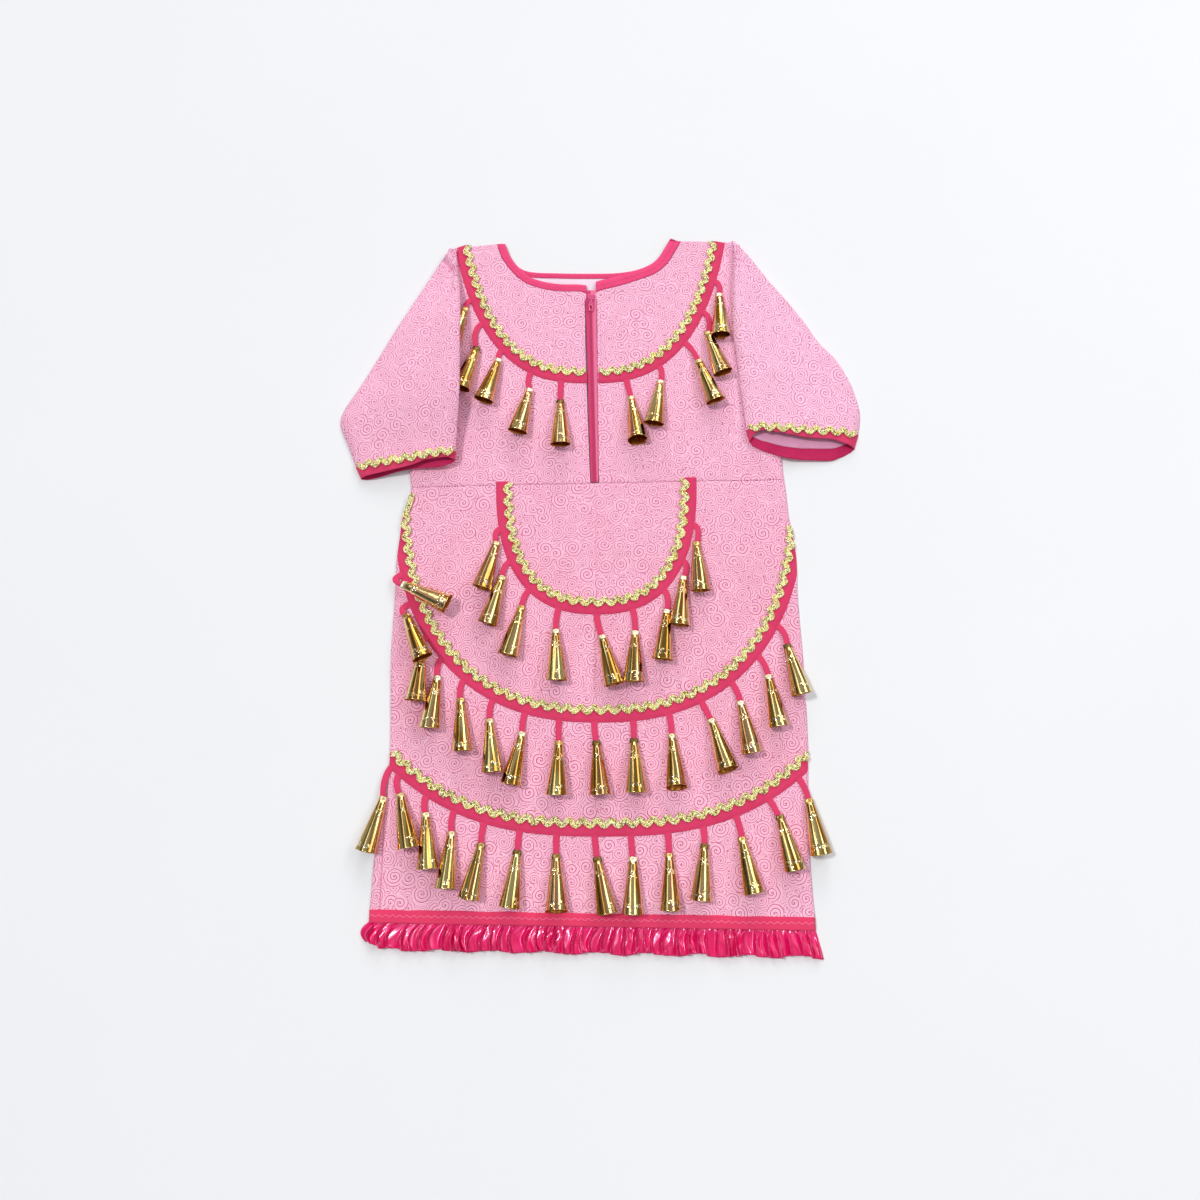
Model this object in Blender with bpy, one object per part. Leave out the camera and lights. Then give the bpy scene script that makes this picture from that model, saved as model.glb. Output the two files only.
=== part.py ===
"""A small child's jingle dress, laid flat on its back with its front up.

Sizes are in millimetres and become metres where a mesh is made. +X is the right of the
dress as seen from above, +Y runs from the hem to the neck and +Z is up from the surface.
"""

import math

import bmesh
import bpy
from mathutils import Vector

MM = 0.001
UP = Vector((0, 0, 1))

# Cloth and trim thicknesses
COTTON = 1.2
TAPE = 1.0
BRAID = 0.9
SATIN = 1.0
SEAM = 0.3
CLEAR = 0.5

# How the front panel lies over the back one
FRONT_FLOOR = COTTON + SEAM
LOFT = 1.6
ROUNDING = ((0.0, 0.0), (5.0, 0.65), (14.0, 1.0))

# Side edges of the dress from hem to shoulder, armholes included
EDGES = (  # y, left, right
    (-316, -215, 201),
    (-280, -214, 199),
    (-245, -212, 198),
    (-193, -204, 199),
    (-140, -203, 201),
    (-60, -206, 200),
    (0, -205, 197.5),
    (40, -205, 198),
    (62, -203, 195.5),
    (84, -201, 192),
    (99, -196, 191),
    (118, -193, 189.5),
    (136, -196, 187),
    (240, -196, 190),
    (252, -182, 178),
    (270, -172, 167),
    (300, -166, 159),
    (330, -161, 154.5),
    (365, -157, 150),
    (392, -155.5, 143),
)

# Soft creases of the front: a trough is a negative height
FOLDS = (  # x_from, y_from, x_to, y_to, half_width, height
    (150, 190, 188, 30, 26, -1.0),
    (172, 190, 196, 60, 24, 0.7),
    (-98, -67, -5, -36, 26, -1.0),
    (-90, -28, 20, 2, 26, 0.7),
    (103, 12, 172, -30, 24, -0.9),
    (-196, 70, -160, 10, 24, -0.8),
    (-60, -190, -80, -300, 26, 0.7),
    (90, -150, 105, -300, 28, 0.7),
    (-165, -120, -150, -290, 26, -0.8),
    (60, 150, 20, 60, 28, 0.7),
)

# Seams across the dress: height at the centre, and how much they rise to the right
WAIST = (122.0, 0.022)
HEM = (-302.0, -0.017)
CENTRE_SEAM_X = -4.0

# Bodice front, a row for each section from the waist to the shoulder
BODICE_LEFT = (  # side_x, side_y, centre_x, centre_y
    (-193, 117.95, -9.9, 121.98),
    (-195.5, 140, -11.0, 146),
    (-196, 172, -12.4, 182),
    (-196, 210, -13.8, 222),
    (-196, 238, -15.0, 256),
    (-178, 258, -15.6, 280),
    (-168, 286, -16.0, 305),
    (-163, 312, -16.4, 325),
    (-160.2, 334, -16.6, 336.5),
    (-158.6, 350, -43, 339),
    (-157.6, 360, -62, 341.5),
    (-156.8, 369, -79, 347.5),
    (-156.4, 378, -93, 360),
    (-156, 386, -106, 378.5),
    (-155.5, 391.5, -113, 396),
)
BODICE_RIGHT = (  # side_x, side_y, centre_x, centre_y
    (189, 126.38, -1.1, 122.16),
    (187.5, 150, -1.4, 146),
    (188.5, 178, -1.8, 182),
    (189.5, 212, -2.2, 222),
    (190, 238, -2.5, 256),
    (173, 259, -2.7, 280),
    (163, 285, -2.9, 305),
    (157, 312, -3.0, 327),
    (153.5, 335, -3.1, 340),
    (151.8, 350, 22, 346.5),
    (150.5, 361, 43, 357),
    (149, 371, 60, 369.5),
    (147.5, 380, 71, 381.5),
    (145.5, 388, 79, 391.5),
    (142.5, 395.5, 84, 399.5),
)
COLUMNS = (0.0, 0.026, 0.073, 0.18, 0.32, 0.48, 0.65, 0.82, 1.0)
SKIRT_ROWS = 13

# Neck binding: width, where the bodice tables' neckline rows start, where it ends at the
# zip, its turn over the shoulder, and the back neckline from the left point to the right
BINDING = 8.0
FRONT_NECK_FROM = 8
BINDING_ENDS_X = (-17.2, -2.8)
SHOULDER_TURN = 1.4
SHOULDER_DROP = 0.2
BACK_NECK = (  # x, y, of the upper edge
    (-104.5, 397.5),
    (-98, 384),
    (-88, 371),
    (-74, 364.8),
    (-45, 363.4),
    (-14, 363),
    (20, 363.8),
    (44, 369),
    (62, 380),
    (75.5, 397.5),
)

# Zip in the centre front: y and the opening's side edges, from foot to top
ZIP_FOOT_Y = 123.2
ZIP_TOP_Y = 338.0
ZIP_LEFT_X = (-9.6, -16.3)
ZIP_RIGHT_X = (-1.4, -3.3)
COIL_HALF = 2.4
COIL_RISE = 1.5
SLIDER = dict(y=331.0, length=8.5, half_width=3.7, plate=1.0)
PULL = dict(length=14.0, half_width=2.4, thickness=1.0, barrel=0.85, half_barrel=1.5, slope=6.5)

# Curved bands, each a superellipse open at the top
ARCS = dict(  # centre_x, centre_y, half_width, depth, fullness, top_left_y, top_right_y
    yoke=(-11.1, 600.0, 159.6, 367.3, 2.67, 392.5, 397.5),
    apron=(-3.7, 128.6, 102.6, 144.5, 2.48, 123.6, 128.2),
    mid=(-1.2, 131.8, 210.2, 255.4, 2.38, 112.0, 122.0),
    bottom=(0.6, 600.0, 372.0, 831.6, 2.69, -160.0, -170.0),
)
YOKE_ZIP_Y = 235.0
BAND = 12.5
STRIP = 3.6
LEAST_BAND = 7.5
WAVE = 13.6
BRAID_SWING = 3.3
BRAID_HALF = 2.5
BRAID_SETBACK = 2.0
STATION_SPACING = 16.0
ARC_STEPS = 600

# Rolled metal cones on loops of tape
CONE = dict(length=52.0, top=3.2, mouth=8.6, wall=0.9, hollow=34.0)
LOOP_HALF = 2.8
JINGLES = dict(  # share of the band's length, loop length, loop lean, cone lean, lift
    yoke_left=(
        (0.28, 11, -19, -16, 0.0),
        (0.41, 28, -6, -18, 0.0),
        (0.57, 10, -6, -16, 0.0),
        (0.74, 19, 1, -13, 0.0),
        (0.885, 22, -2, 1, 0.0),
    ),
    yoke_right=(
        (0.125, 20, 13, 7, 0.0),
        (0.29, 17, 2, -9, 0.0),
        (0.455, 24, 30, 19, 0.0),
        (0.63, 24, 5, 17, 0.0),
        (0.795, 16, 10, 0, 0.0),
    ),
    apron=(
        (0.128, 14, -6, -15, 0.0),
        (0.219, 16, -20, -15, 0.0),
        (0.309, 17, -19, -14, 0.0),
        (0.399, 21, -7, 2, 0.0),
        (0.495, 22, 13, 14, 0.0),
        (0.586, 22, 5, -2, 0.0),
        (0.681, 20, 4, -6, 0.0),
        (0.772, 16, -5, -6, 0.0),
        (0.872, 19, 3, 3, 0.0),
    ),
    mid=(
        (0.122, 11, 13, 65, 3.4),
        (0.165, 12, -8, 24, 10.5),
        (0.218, 12, -10, -4, 0.0),
        (0.255, 17, -7, -6, 0.0),
        (0.298, 17, -5, 4, 0.0),
        (0.346, 18, -7, 5, 0.0),
        (0.393, 18, -5, -11, 0.0),
        (0.44, 20, 1, -2, 0.0),
        (0.487, 18, 6, 4, 0.0),
        (0.539, 17, 1, 2, 0.0),
        (0.588, 19, 5, 4, 0.0),
        (0.635, 18, 26, 16, 0.0),
        (0.684, 19, 21, 10, 0.0),
        (0.736, 20, 23, 9, 0.0),
        (0.787, 20, 20, 13, 0.0),
    ),
    bottom=(
        (0.025, 27, -9, -15, -2.9),
        (0.049, 17, 10, 13, 0.0),
        (0.125, 15, 3, 5, 0.0),
        (0.194, 18, -2, -4, 0.0),
        (0.264, 18, -4, -11, 0.0),
        (0.343, 17, -5, -7, 0.0),
        (0.422, 17, 1, 1, 0.0),
        (0.504, 19, 6, 10, 0.0),
        (0.581, 19, 5, -1, 0.0),
        (0.66, 18, 2, 0, 0.0),
        (0.737, 15, 2, -6, 0.0),
        (0.812, 19, 12, 10, 0.0),
        (0.893, 16, 29, 13, 0.0),
        (0.973, 20, 22, 10, -2.9),
    ),
)
TRIM_LIFT = 3.4
BEND = 0.4
BEND_OVER_BAND = 14.0
MIDDLE_RISE = 0.35

# Sleeves, a row for each section from the shoulder to the cuff seam. The inner edge rises
# over the cones that it covers, and the bows carry the two layers' edges apart at the cuff.
SLEEVE_LEFT = (  # in_x, in_y, in_z, out_x, out_y, out_z, room, bow_over, bow_under
    (-157.5, 389.5, 4.8, -163.5, 387.5, 4.8, 0.6, 0, 0),
    (-156.0, 374, 4.8, -177, 364, 3.0, 1.6, 0, 0),
    (-153.0, 358, 7.0, -188, 345, 1.5, 2.6, 0, 0),
    (-149.0, 335, 14.0, -204, 318, 0.5, 3.2, 0, 0),
    (-146.0, 308, 23.0, -219.5, 291, 0.0, 3.2, 0, 0),
    (-145.0, 278, 26.0, -234.5, 262, 0.0, 3.2, 0, 0),
    (-145.0, 246, 26.0, -251, 231, 0.0, 3.2, 0, 0),
    (-145.5, 215, 23.0, -265, 207, 0.0, 3.2, 0, 0),
    (-147.0, 190, 14.0, -270, 188, 0.0, 3.2, 0, 0),
    (-148.2, 171, 8.0, -259.5, 161, 0.0, 3.4, 0, 0),
    (-148.9, 158.5, 5.6, -250.8, 138.8, 0.0, 3.5, 1.5, -3),
)
SLEEVE_RIGHT = (  # in_x, in_y, in_z, out_x, out_y, out_z, room, bow_over, bow_under
    (145.5, 393.5, 4.8, 151.5, 391, 4.8, 0.6, 0, 0),
    (145.5, 377, 4.8, 169, 367, 3.0, 1.6, 0, 0),
    (145.0, 358, 4.8, 182, 352, 0.5, 2.6, 0, 0),
    (144.6, 335, 4.8, 198.5, 332, 0.0, 3.2, 0, 0),
    (144.6, 308, 4.8, 217, 306, 0.0, 3.2, 0, 0),
    (145.0, 280, 4.8, 232, 281, 0.0, 3.2, 0, 0),
    (146.5, 250, 4.8, 248.5, 262, 0.0, 3.2, 0, 0),
    (148.0, 222, 4.8, 260.5, 240, 0.0, 3.2, 0, 0),
    (149.5, 202, 4.8, 267, 221, 0.0, 3.2, 2, -4),
    (150.5, 188, 4.8, 271, 199, 0.0, 3.4, 4, -10),
    (151.0, 177, 4.8, 267.6, 174, 0.0, 3.6, 6, -16),
)
CUFF_LEFT_END = (-149.8, 151.5, 5.1, -245.5, 127.5, 0.0, 3.5, -0.5, -4.5)
CUFF_RIGHT_END = (153.5, 166, 4.8, 263, 160, 0.0, 3.8, 8, -17)
SLEEVE_STEPS = (0.0, 0.14, 0.30, 0.48, 0.66, 0.84, 1.0)
SLEEVE_OVER = 4.8
SLEEVE_CLEAR = 28.0
FOLD_ROOM = 2.2
CUFF_WAVES = 8
CAP_GATHER_RISE = 0.9

# Hem band and gathered ruffle, which run all round
HEM_BAND = 11.5
RUFFLE_DROP = 23.0
RUFFLE_FLARE = 4.5
FRONT_GATHERS = 38
GATHER_RISE = 2.9
LOBES = 9
LOBE_DEPTH = 1.4
BACK_GATHERS = 14

# Colour (linear), metallic, roughness
FINISHES = dict(
    cotton=((0.95, 0.43, 0.64), 0.0, 0.85),
    tape=((0.73, 0.05, 0.18), 0.0, 0.8),
    hem_tape=((0.87, 0.06, 0.22), 0.0, 0.8),
    satin=((0.75, 0.01, 0.16), 0.0, 0.35),
    braid=((0.75, 0.62, 0.16), 0.8, 0.4),
    brass=((0.62, 0.44, 0.12), 1.0, 0.25),
    zip_pink=((0.70, 0.07, 0.20), 0.0, 0.5),
    zip_metal=((0.78, 0.16, 0.32), 0.3, 0.35),
)


# ---------------------------------------------------------------- places and heights

def between(a, b, share):
    return a + (b - a) * share


def read_table(table, key, column):
    """Value of a column at a key, straight between rows and held past the ends."""
    for low, high in zip(table, table[1:]):
        if key <= high[0]:
            share = max(0.0, (key - low[0]) / (high[0] - low[0]))
            return between(low[column], high[column], share)
    return table[-1][column]


def waist_y(x):
    return WAIST[0] + WAIST[1] * x


def hem_y(x):
    return HEM[0] + HEM[1] * x


def fold_height(x, y):
    """Height that the creases add, each fading out past its two ends."""
    total = 0.0
    for x1, y1, x2, y2, half_width, height in FOLDS:
        run = Vector((x2 - x1, y2 - y1))
        offset = Vector((x - x1, y - y1))
        along = min(1.0, max(0.0, offset.dot(run) / run.length_squared))
        distance = (offset - run * along).length
        total += height * math.exp(-((distance / half_width) ** 2))
    return total


def front_under(x, y):
    """Height of the front cloth's under face."""
    inset = min(x - read_table(EDGES, y, 1), read_table(EDGES, y, 2) - x)
    rounding = read_table(ROUNDING, max(0.0, inset), 1)
    return FRONT_FLOOR + rounding * (LOFT + fold_height(x, y))


def front_top(x, y):
    return front_under(x, y) + COTTON


def zip_half(y):
    """Half width of the zip's tapes, and the middle of its opening."""
    share = (y - ZIP_FOOT_Y) / (ZIP_TOP_Y - ZIP_FOOT_Y)
    left = between(*ZIP_LEFT_X, share)
    right = between(*ZIP_RIGHT_X, share)
    return (right - left) / 2, (right + left) / 2


class Arc:
    """A band's outer edge, read by the share of its length from left to right."""

    def __init__(self, centre_x, centre_y, half_width, depth, fullness, left_y, right_y):
        power = 2 / fullness
        start = math.pi - math.asin(((centre_y - left_y) / depth) ** (1 / power))
        end = math.asin(((centre_y - right_y) / depth) ** (1 / power))
        self.points = []
        for step in range(ARC_STEPS + 1):
            angle = between(start, end, step / ARC_STEPS)
            reach = math.copysign(abs(math.cos(angle)) ** power, math.cos(angle))
            x = centre_x + half_width * reach
            y = centre_y - depth * math.sin(angle) ** power
            self.points.append(Vector((x, y)))
        self.lengths = [0.0]
        for a, b in zip(self.points, self.points[1:]):
            self.lengths.append(self.lengths[-1] + (b - a).length)
        self.length = self.lengths[-1]

    def at(self, distance):
        """Point and outward direction at a distance along the edge."""
        distance = min(self.length - 0.01, max(0.01, distance))
        index = next(i for i, value in enumerate(self.lengths) if value > distance)
        a, b = self.points[index - 1], self.points[index]
        share = (distance - self.lengths[index - 1]) / (b - a).length
        run = (b - a).normalized()
        return a.lerp(b, share), Vector((run.y, -run.x))

    def distance_at_x(self, x):
        index = next(i for i, point in enumerate(self.points) if point.x > x)
        return self.lengths[index]


# ---------------------------------------------------------------- making solids

def finish_material(name):
    colour, metallic, roughness = FINISHES[name]
    material = bpy.data.materials.get(name) or bpy.data.materials.new(name)
    material.use_nodes = True
    shader = material.node_tree.nodes["Principled BSDF"]
    shader.inputs["Base Color"].default_value = (*colour, 1)
    shader.inputs["Metallic"].default_value = metallic
    shader.inputs["Roughness"].default_value = roughness
    return material


def add_part(bm, name, finish, collection):
    """Closes a bmesh's account: faces out, triangles only, metres, one object."""
    bmesh.ops.recalc_face_normals(bm, faces=bm.faces)
    bmesh.ops.triangulate(bm, faces=bm.faces)
    bmesh.ops.scale(bm, vec=(MM, MM, MM), verts=bm.verts)
    mesh = bpy.data.meshes.new(name)
    bm.to_mesh(mesh)
    bm.free()
    mesh.materials.append(finish_material(finish).copy())
    mesh.materials[0].name = name
    part = bpy.data.objects.new(name, mesh)
    collection.objects.link(part)
    return part


def loft(bm, rows, closed):
    """Draws the first row and extrudes its edges from row to row."""
    column = bm.verts.layers.int.new("column")
    verts = [bm.verts.new(point) for point in rows[0]]
    for index, vert in enumerate(verts):
        vert[column] = index
    pairs = list(zip(verts, verts[1:]))
    if closed:
        pairs.append((verts[-1], verts[0]))
    edges = [bm.edges.new(pair) for pair in pairs]
    for row in rows[1:]:
        made = bmesh.ops.extrude_edge_only(bm, edges=edges)["geom"]
        edges = [item for item in made if isinstance(item, bmesh.types.BMEdge)]
        new_verts = {item for item in made if isinstance(item, bmesh.types.BMVert)}
        for vert in new_verts:
            vert.co = row[vert[column]]
        edges = [edge for edge in edges if set(edge.verts) <= new_verts]


def cloth_wall(name, rows, thickness, finish, collection, closed=False):
    """A wall of cloth. Rows hold (point of the under face, direction of the wall)."""
    bm = bmesh.new()
    loft(bm, [[point for point, _ in row] for row in rows], closed)
    column = bm.verts.layers.int["column"]
    wall = bm.verts.layers.float_vector.new("wall")
    count = len(rows[0])
    bm.verts.ensure_lookup_table()
    places = {}
    for row in rows:
        for index, (point, direction) in enumerate(row):
            places[(index, tuple(round(value, 3) for value in point))] = direction
    for vert in bm.verts:
        key = (vert[column] % count, tuple(round(value, 3) for value in vert.co))
        vert[wall] = places[key]
    made = bmesh.ops.extrude_face_region(bm, geom=bm.faces[:], use_keep_orig=True)["geom"]
    for item in made:
        if isinstance(item, bmesh.types.BMVert):
            item.co += item[wall] * thickness
    return add_part(bm, name, finish, collection)


def bar(name, sections, finish, collection):
    """A bar lofted through closed sections, with a flat cap at each end."""
    bm = bmesh.new()
    loft(bm, sections, closed=True)
    bmesh.ops.holes_fill(bm, edges=[edge for edge in bm.edges if edge.is_boundary])
    return add_part(bm, name, finish, collection)


def flat_section(near, far, low, high):
    """Four corners of a strip's section between two plan points."""
    return [(near.x, near.y, low[0]), (far.x, far.y, low[1]),
            (far.x, far.y, high[1]), (near.x, near.y, high[0])]


# ---------------------------------------------------------------- front and back

def bodice_front(name, table, collection):
    rows = []
    for side_x, side_y, centre_x, centre_y in table:
        row = []
        for share in COLUMNS:
            x = between(side_x, centre_x, share)
            y = between(side_y, centre_y, share)
            row.append((Vector((x, y, front_under(x, y))), UP))
        rows.append(row)
    cloth_wall(name, rows, COTTON, "cotton", collection)


def skirt_front(name, side_column, centre_x, collection):
    rows = []
    for step in range(SKIRT_ROWS + 1):
        drop = step / SKIRT_ROWS
        row = []
        for share in COLUMNS:
            level = between(waist_y(0), hem_y(0), drop)
            x = between(read_table(EDGES, level, side_column), centre_x, share)
            y = between(waist_y(x) - SEAM, hem_y(x) + SEAM, drop)
            row.append((Vector((x, y, front_under(x, y))), UP))
        rows.append(row)
    cloth_wall(name, rows, COTTON, "cotton", collection)


def back_neck_edges():
    """Upper and lower edge points of the binding along the back neckline."""
    points = [Vector(point) for point in BACK_NECK]
    pairs = []
    for index, point in enumerate(points):
        run = (points[min(len(points) - 1, index + 1)] - points[max(0, index - 1)]).normalized()
        pairs.append((point, point + Vector((run.y, -run.x)) * BINDING))
    return pairs


def bodice_back(collection):
    """Flat on the surface, with the plain back neckline."""
    rows = []
    lower = [row for row in EDGES if 118 < row[0] <= 330]
    for y in [waist_y(0)] + [row[0] for row in lower]:
        left, right = read_table(EDGES, y, 1), read_table(EDGES, y, 2)
        row = []
        for step in range(len(BACK_NECK) + 2):
            x = between(left, right, step / (len(BACK_NECK) + 1))
            row.append((Vector((x, waist_y(x) + SEAM if y == waist_y(0) else y, 0)), UP))
        rows.append(row)
    top = [Vector((*BODICE_LEFT[-1][:2], 0))]
    for upper, below in back_neck_edges():
        away = (below - upper).normalized()
        top.append((below + away * 2 * SEAM).to_3d())
    top.append(Vector((*BODICE_RIGHT[-1][:2], 0)))
    rows.append([(point, UP) for point in top])
    cloth_wall("bodice_back", rows, COTTON, "cotton", collection)


def skirt_back(collection):
    rows = []
    between_seams = [row[0] for row in reversed(EDGES) if hem_y(0) < row[0] < 110]
    for level in [waist_y(0)] + between_seams + [hem_y(0)]:
        left, right = read_table(EDGES, level, 1), read_table(EDGES, level, 2)
        row = []
        for share in (0.0, 0.5, 1.0):
            x = between(left, right, share)
            y = level
            if level == waist_y(0):
                y = waist_y(x) - SEAM
            if level == hem_y(0):
                y = hem_y(x) + SEAM
            row.append((Vector((x, y, 0)), UP))
        rows.append(row)
    cloth_wall("skirt_back", rows, COTTON, "cotton", collection)


# ---------------------------------------------------------------- bands, braid, jingles

def stations(start, end, spacing):
    count = max(2, round((end - start) / spacing))
    return [between(start, end, step / count) for step in range(count + 1)]


def trim_height(x, y, lift):
    return front_top(x, y) + CLEAR + lift


def band_marks(start, end, roots):
    """Stations that the band and its strip share: a pair at each loop, and some between."""
    pairs = {root + side for root in roots for side in (-LOOP_HALF, LOOP_HALF)}
    fill = {mark for mark in stations(start, end, STATION_SPACING)
            if all(abs(mark - root) > BAND / 2 + 1 for root in roots)}
    return sorted(pairs | fill)


def band_on_front(arc, distance):
    """Inner edge of the band, its outward direction, and the width short of the side edge."""
    edge, outward = arc.at(distance)
    left, right = read_table(EDGES, edge.y, 1), read_table(EDGES, edge.y, 2)
    overhang = max(0.0, left - edge.x, edge.x - right)
    width = BAND - overhang / max(0.3, abs(outward.x))
    return edge - outward * BAND, outward, width


def curved_band(name, arc, marks, collection):
    """Bias tape inside the narrow strip that carries the loops."""
    sections = []
    for distance in marks:
        near, outward, width = band_on_front(arc, distance)
        if width < LEAST_BAND:
            continue
        far = near + outward * (width - STRIP - SEAM)
        low = (trim_height(near.x, near.y, 0), trim_height(far.x, far.y, 0))
        high = (low[0] + TAPE, low[1] + TAPE)
        sections.append(flat_section(near, far, low, high))
    bar(name, sections, "tape", collection)


def braid_sections(centres):
    """Zigzag sections from (plan point, swing direction, height) of each half wave."""
    sections = []
    for index, (point, outward, height) in enumerate(centres):
        side = 1 if index % 2 else -1
        middle = point + outward * (BRAID_SWING * side)
        near, far = middle - outward * BRAID_HALF, middle + outward * BRAID_HALF
        low = (height, height)
        sections.append(flat_section(near, far, low, (height + BRAID, height + BRAID)))
    return sections


def curved_braid(name, arc, start, end, collection):
    """Ric-rac centred on the band's upper edge."""
    centres = []
    for distance in stations(start, end, WAVE / 2):
        edge, outward = arc.at(distance)
        middle = edge - outward * BAND
        reach = BRAID_SWING + BRAID_HALF
        middle.x = min(read_table(EDGES, middle.y, 2) - reach,
                       max(read_table(EDGES, middle.y, 1) + reach, middle.x))
        height = max(trim_height(middle.x + dx, middle.y + dy, 0)
                     for dx in (-reach, 0, reach) for dy in (-reach, 0, reach))
        centres.append((middle, outward, height + TAPE + SEAM))
    bar(name, braid_sections(centres), "braid", collection)


def lean(degrees):
    """Plan direction of a thing that hangs down the skirt, leaning to the right."""
    angle = math.radians(degrees)
    return Vector((math.sin(angle), -math.cos(angle)))


def set_ring(face, centre, across, upward, radius):
    """Spreads a face's eight corners round a circle."""
    middle = face.calc_center_median()
    for vert in face.verts:
        offset = vert.co - middle
        wide, high = offset.dot(across), offset.dot(upward)
        column = 0 if abs(wide) < 1e-3 * radius else math.copysign(1, wide)
        row = 0 if abs(high) < 1e-3 * radius else math.copysign(1, high)
        direction = (across * column + upward * row).normalized()
        vert.co = centre + direction * radius


def extrude_end(bm, face):
    """Extrudes one face and gives back its moved copy, still in place."""
    made = bmesh.ops.extrude_discrete_faces(bm, faces=[face])["faces"]
    return made[0]


def place_quad(face, centre, was_across, across):
    """Puts a tape's end face at a centre, level and turned to a new direction."""
    middle = face.calc_center_median()
    for vert in face.verts:
        offset = vert.co - middle
        wide = math.copysign(LOOP_HALF, offset.dot(was_across))
        high = math.copysign(TAPE / 2, offset.z)
        vert.co = centre + across * wide + UP * high


def add_jingle(bm, root_face, outward, loop_length, loop_lean, cone_lean, lift):
    """One loop of tape from the strip, and the cone crimped on its end."""
    root = root_face.calc_center_median()
    loop_way, cone_way = lean(loop_lean), lean(cone_lean)
    tip_plan = Vector((root.x, root.y)) + loop_way * loop_length
    mouth_plan = tip_plan + cone_way * CONE["length"]
    cloth_tip = max(front_top(*(tip_plan + cone_way * step)) for step in (-4, 0, 10))
    cloth_mouth = max(front_top(mouth_plan.x + side, mouth_plan.y + ahead)
                      for side in (-8, 0, 8) for ahead in (-2, 12))
    tip_lift = min(TRIM_LIFT, max(0.0, lift))
    tip = tip_plan.to_3d() + UP * (cloth_tip + CLEAR + CONE["top"] + tip_lift)
    mouth = mouth_plan.to_3d() + UP * (cloth_mouth + CLEAR + CONE["mouth"] + lift)
    axis = (mouth - tip).normalized()
    across = UP.cross(axis).normalized()
    upward = axis.cross(across)

    bend = root.xy + outward * (BEND_OVER_BAND if lift > 0 else BEND * loop_length)
    middle = root.xy.lerp(bend, 0.5).lerp(bend.lerp(tip_plan, 0.5), 0.5)
    along = UP.cross(outward.to_3d())
    wide = (along + across).normalized()
    face = extrude_end(bm, root_face)
    place_quad(face, Vector((*middle, between(root.z, tip.z, MIDDLE_RISE))), along, wide)
    face = extrude_end(bm, face)
    place_quad(face, tip, wide, across)
    bmesh.ops.subdivide_edges(bm, edges=face.edges[:], cuts=1)
    collar = extrude_end(bm, face)
    set_ring(collar, tip, across, upward, CONE["top"])
    rim = extrude_end(bm, collar)
    set_ring(rim, mouth, across, upward, CONE["mouth"])
    inner = extrude_end(bm, rim)
    set_ring(inner, mouth, across, upward, CONE["mouth"] - CONE["wall"])
    poked = bmesh.ops.poke(bm, faces=[inner])["verts"]
    poked[0].co = mouth - axis * CONE["hollow"]


def jingle_row(name, arc, marks, roots, table, collection):
    """A row of jingles fused to the narrow strip along the band's lower edge."""
    sections = []
    for distance in marks:
        inner, outward, width = band_on_front(arc, distance)
        if width < LEAST_BAND:
            continue
        near, edge = inner + outward * (width - STRIP), inner + outward * width
        low = (trim_height(near.x, near.y, 0), trim_height(edge.x, edge.y, 0))
        sections.append(flat_section(near, edge, low, (low[0] + TAPE, low[1] + TAPE)))
    bm = bmesh.new()
    loft(bm, sections, closed=True)
    bmesh.ops.holes_fill(bm, edges=[edge for edge in bm.edges if edge.is_boundary])
    bmesh.ops.recalc_face_normals(bm, faces=bm.faces)
    for root, row in zip(roots, table):
        inner, outward, width = band_on_front(arc, root)
        edge = inner + outward * width
        side_faces = [face for face in bm.faces if len(face.verts) == 4
                      and face.normal.xy.dot(outward) > 0.7]
        face = min(side_faces, key=lambda f: (f.calc_center_median().xy - edge).length)
        add_jingle(bm, face, outward, *row[1:])
    add_part(bm, name, "brass", collection)


# ---------------------------------------------------------------- neck and zip

def front_neck_edges(table, inward):
    """Near and far edge points of the binding along one side of the front neckline."""
    points = [Vector(row[2:4]) for row in table[FRONT_NECK_FROM:]]
    pairs = []
    for index, point in enumerate(points):
        run = (points[min(len(points) - 1, index + 1)] - points[max(0, index - 1)]).normalized()
        normal = Vector((run.y, -run.x)) * inward
        pairs.append((point + normal * SEAM, point + normal * (BINDING + SEAM)))
    return pairs


def neck_binding(collection):
    """Tape along the front neckline, over each shoulder and round the back neck."""
    left = front_neck_edges(BODICE_LEFT, 1)
    right = front_neck_edges(BODICE_RIGHT, -1)
    left[0] = (Vector((BINDING_ENDS_X[0], left[0][0].y)), Vector((BINDING_ENDS_X[0], 345.5)))
    right[0] = (Vector((BINDING_ENDS_X[1], right[0][0].y)), Vector((BINDING_ENDS_X[1], 349.5)))

    def section(near, far, height, direction):
        return [(Vector((*near, height)), direction), (Vector((*far, height)), direction)]

    def front_sections(pairs):
        return [section(near, far, max(front_under(*near), FRONT_FLOOR + LOFT), UP)
                for near, far in pairs]

    def shoulder_section(near, far):
        forward = Vector((0, SHOULDER_TURN))
        return section(near + forward, far + forward, FRONT_FLOOR - SHOULDER_DROP,
                       Vector((0, 1, 0)))

    rows = front_sections(left)
    rows.append(shoulder_section(*left[-1]))
    rows += [section(below, above, COTTON, -UP) for above, below in back_neck_edges()]
    rows.append(shoulder_section(*right[-1]))
    rows += front_sections(reversed(right))
    cloth_wall("neck_binding", rows, COTTON, "tape", collection)


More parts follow.
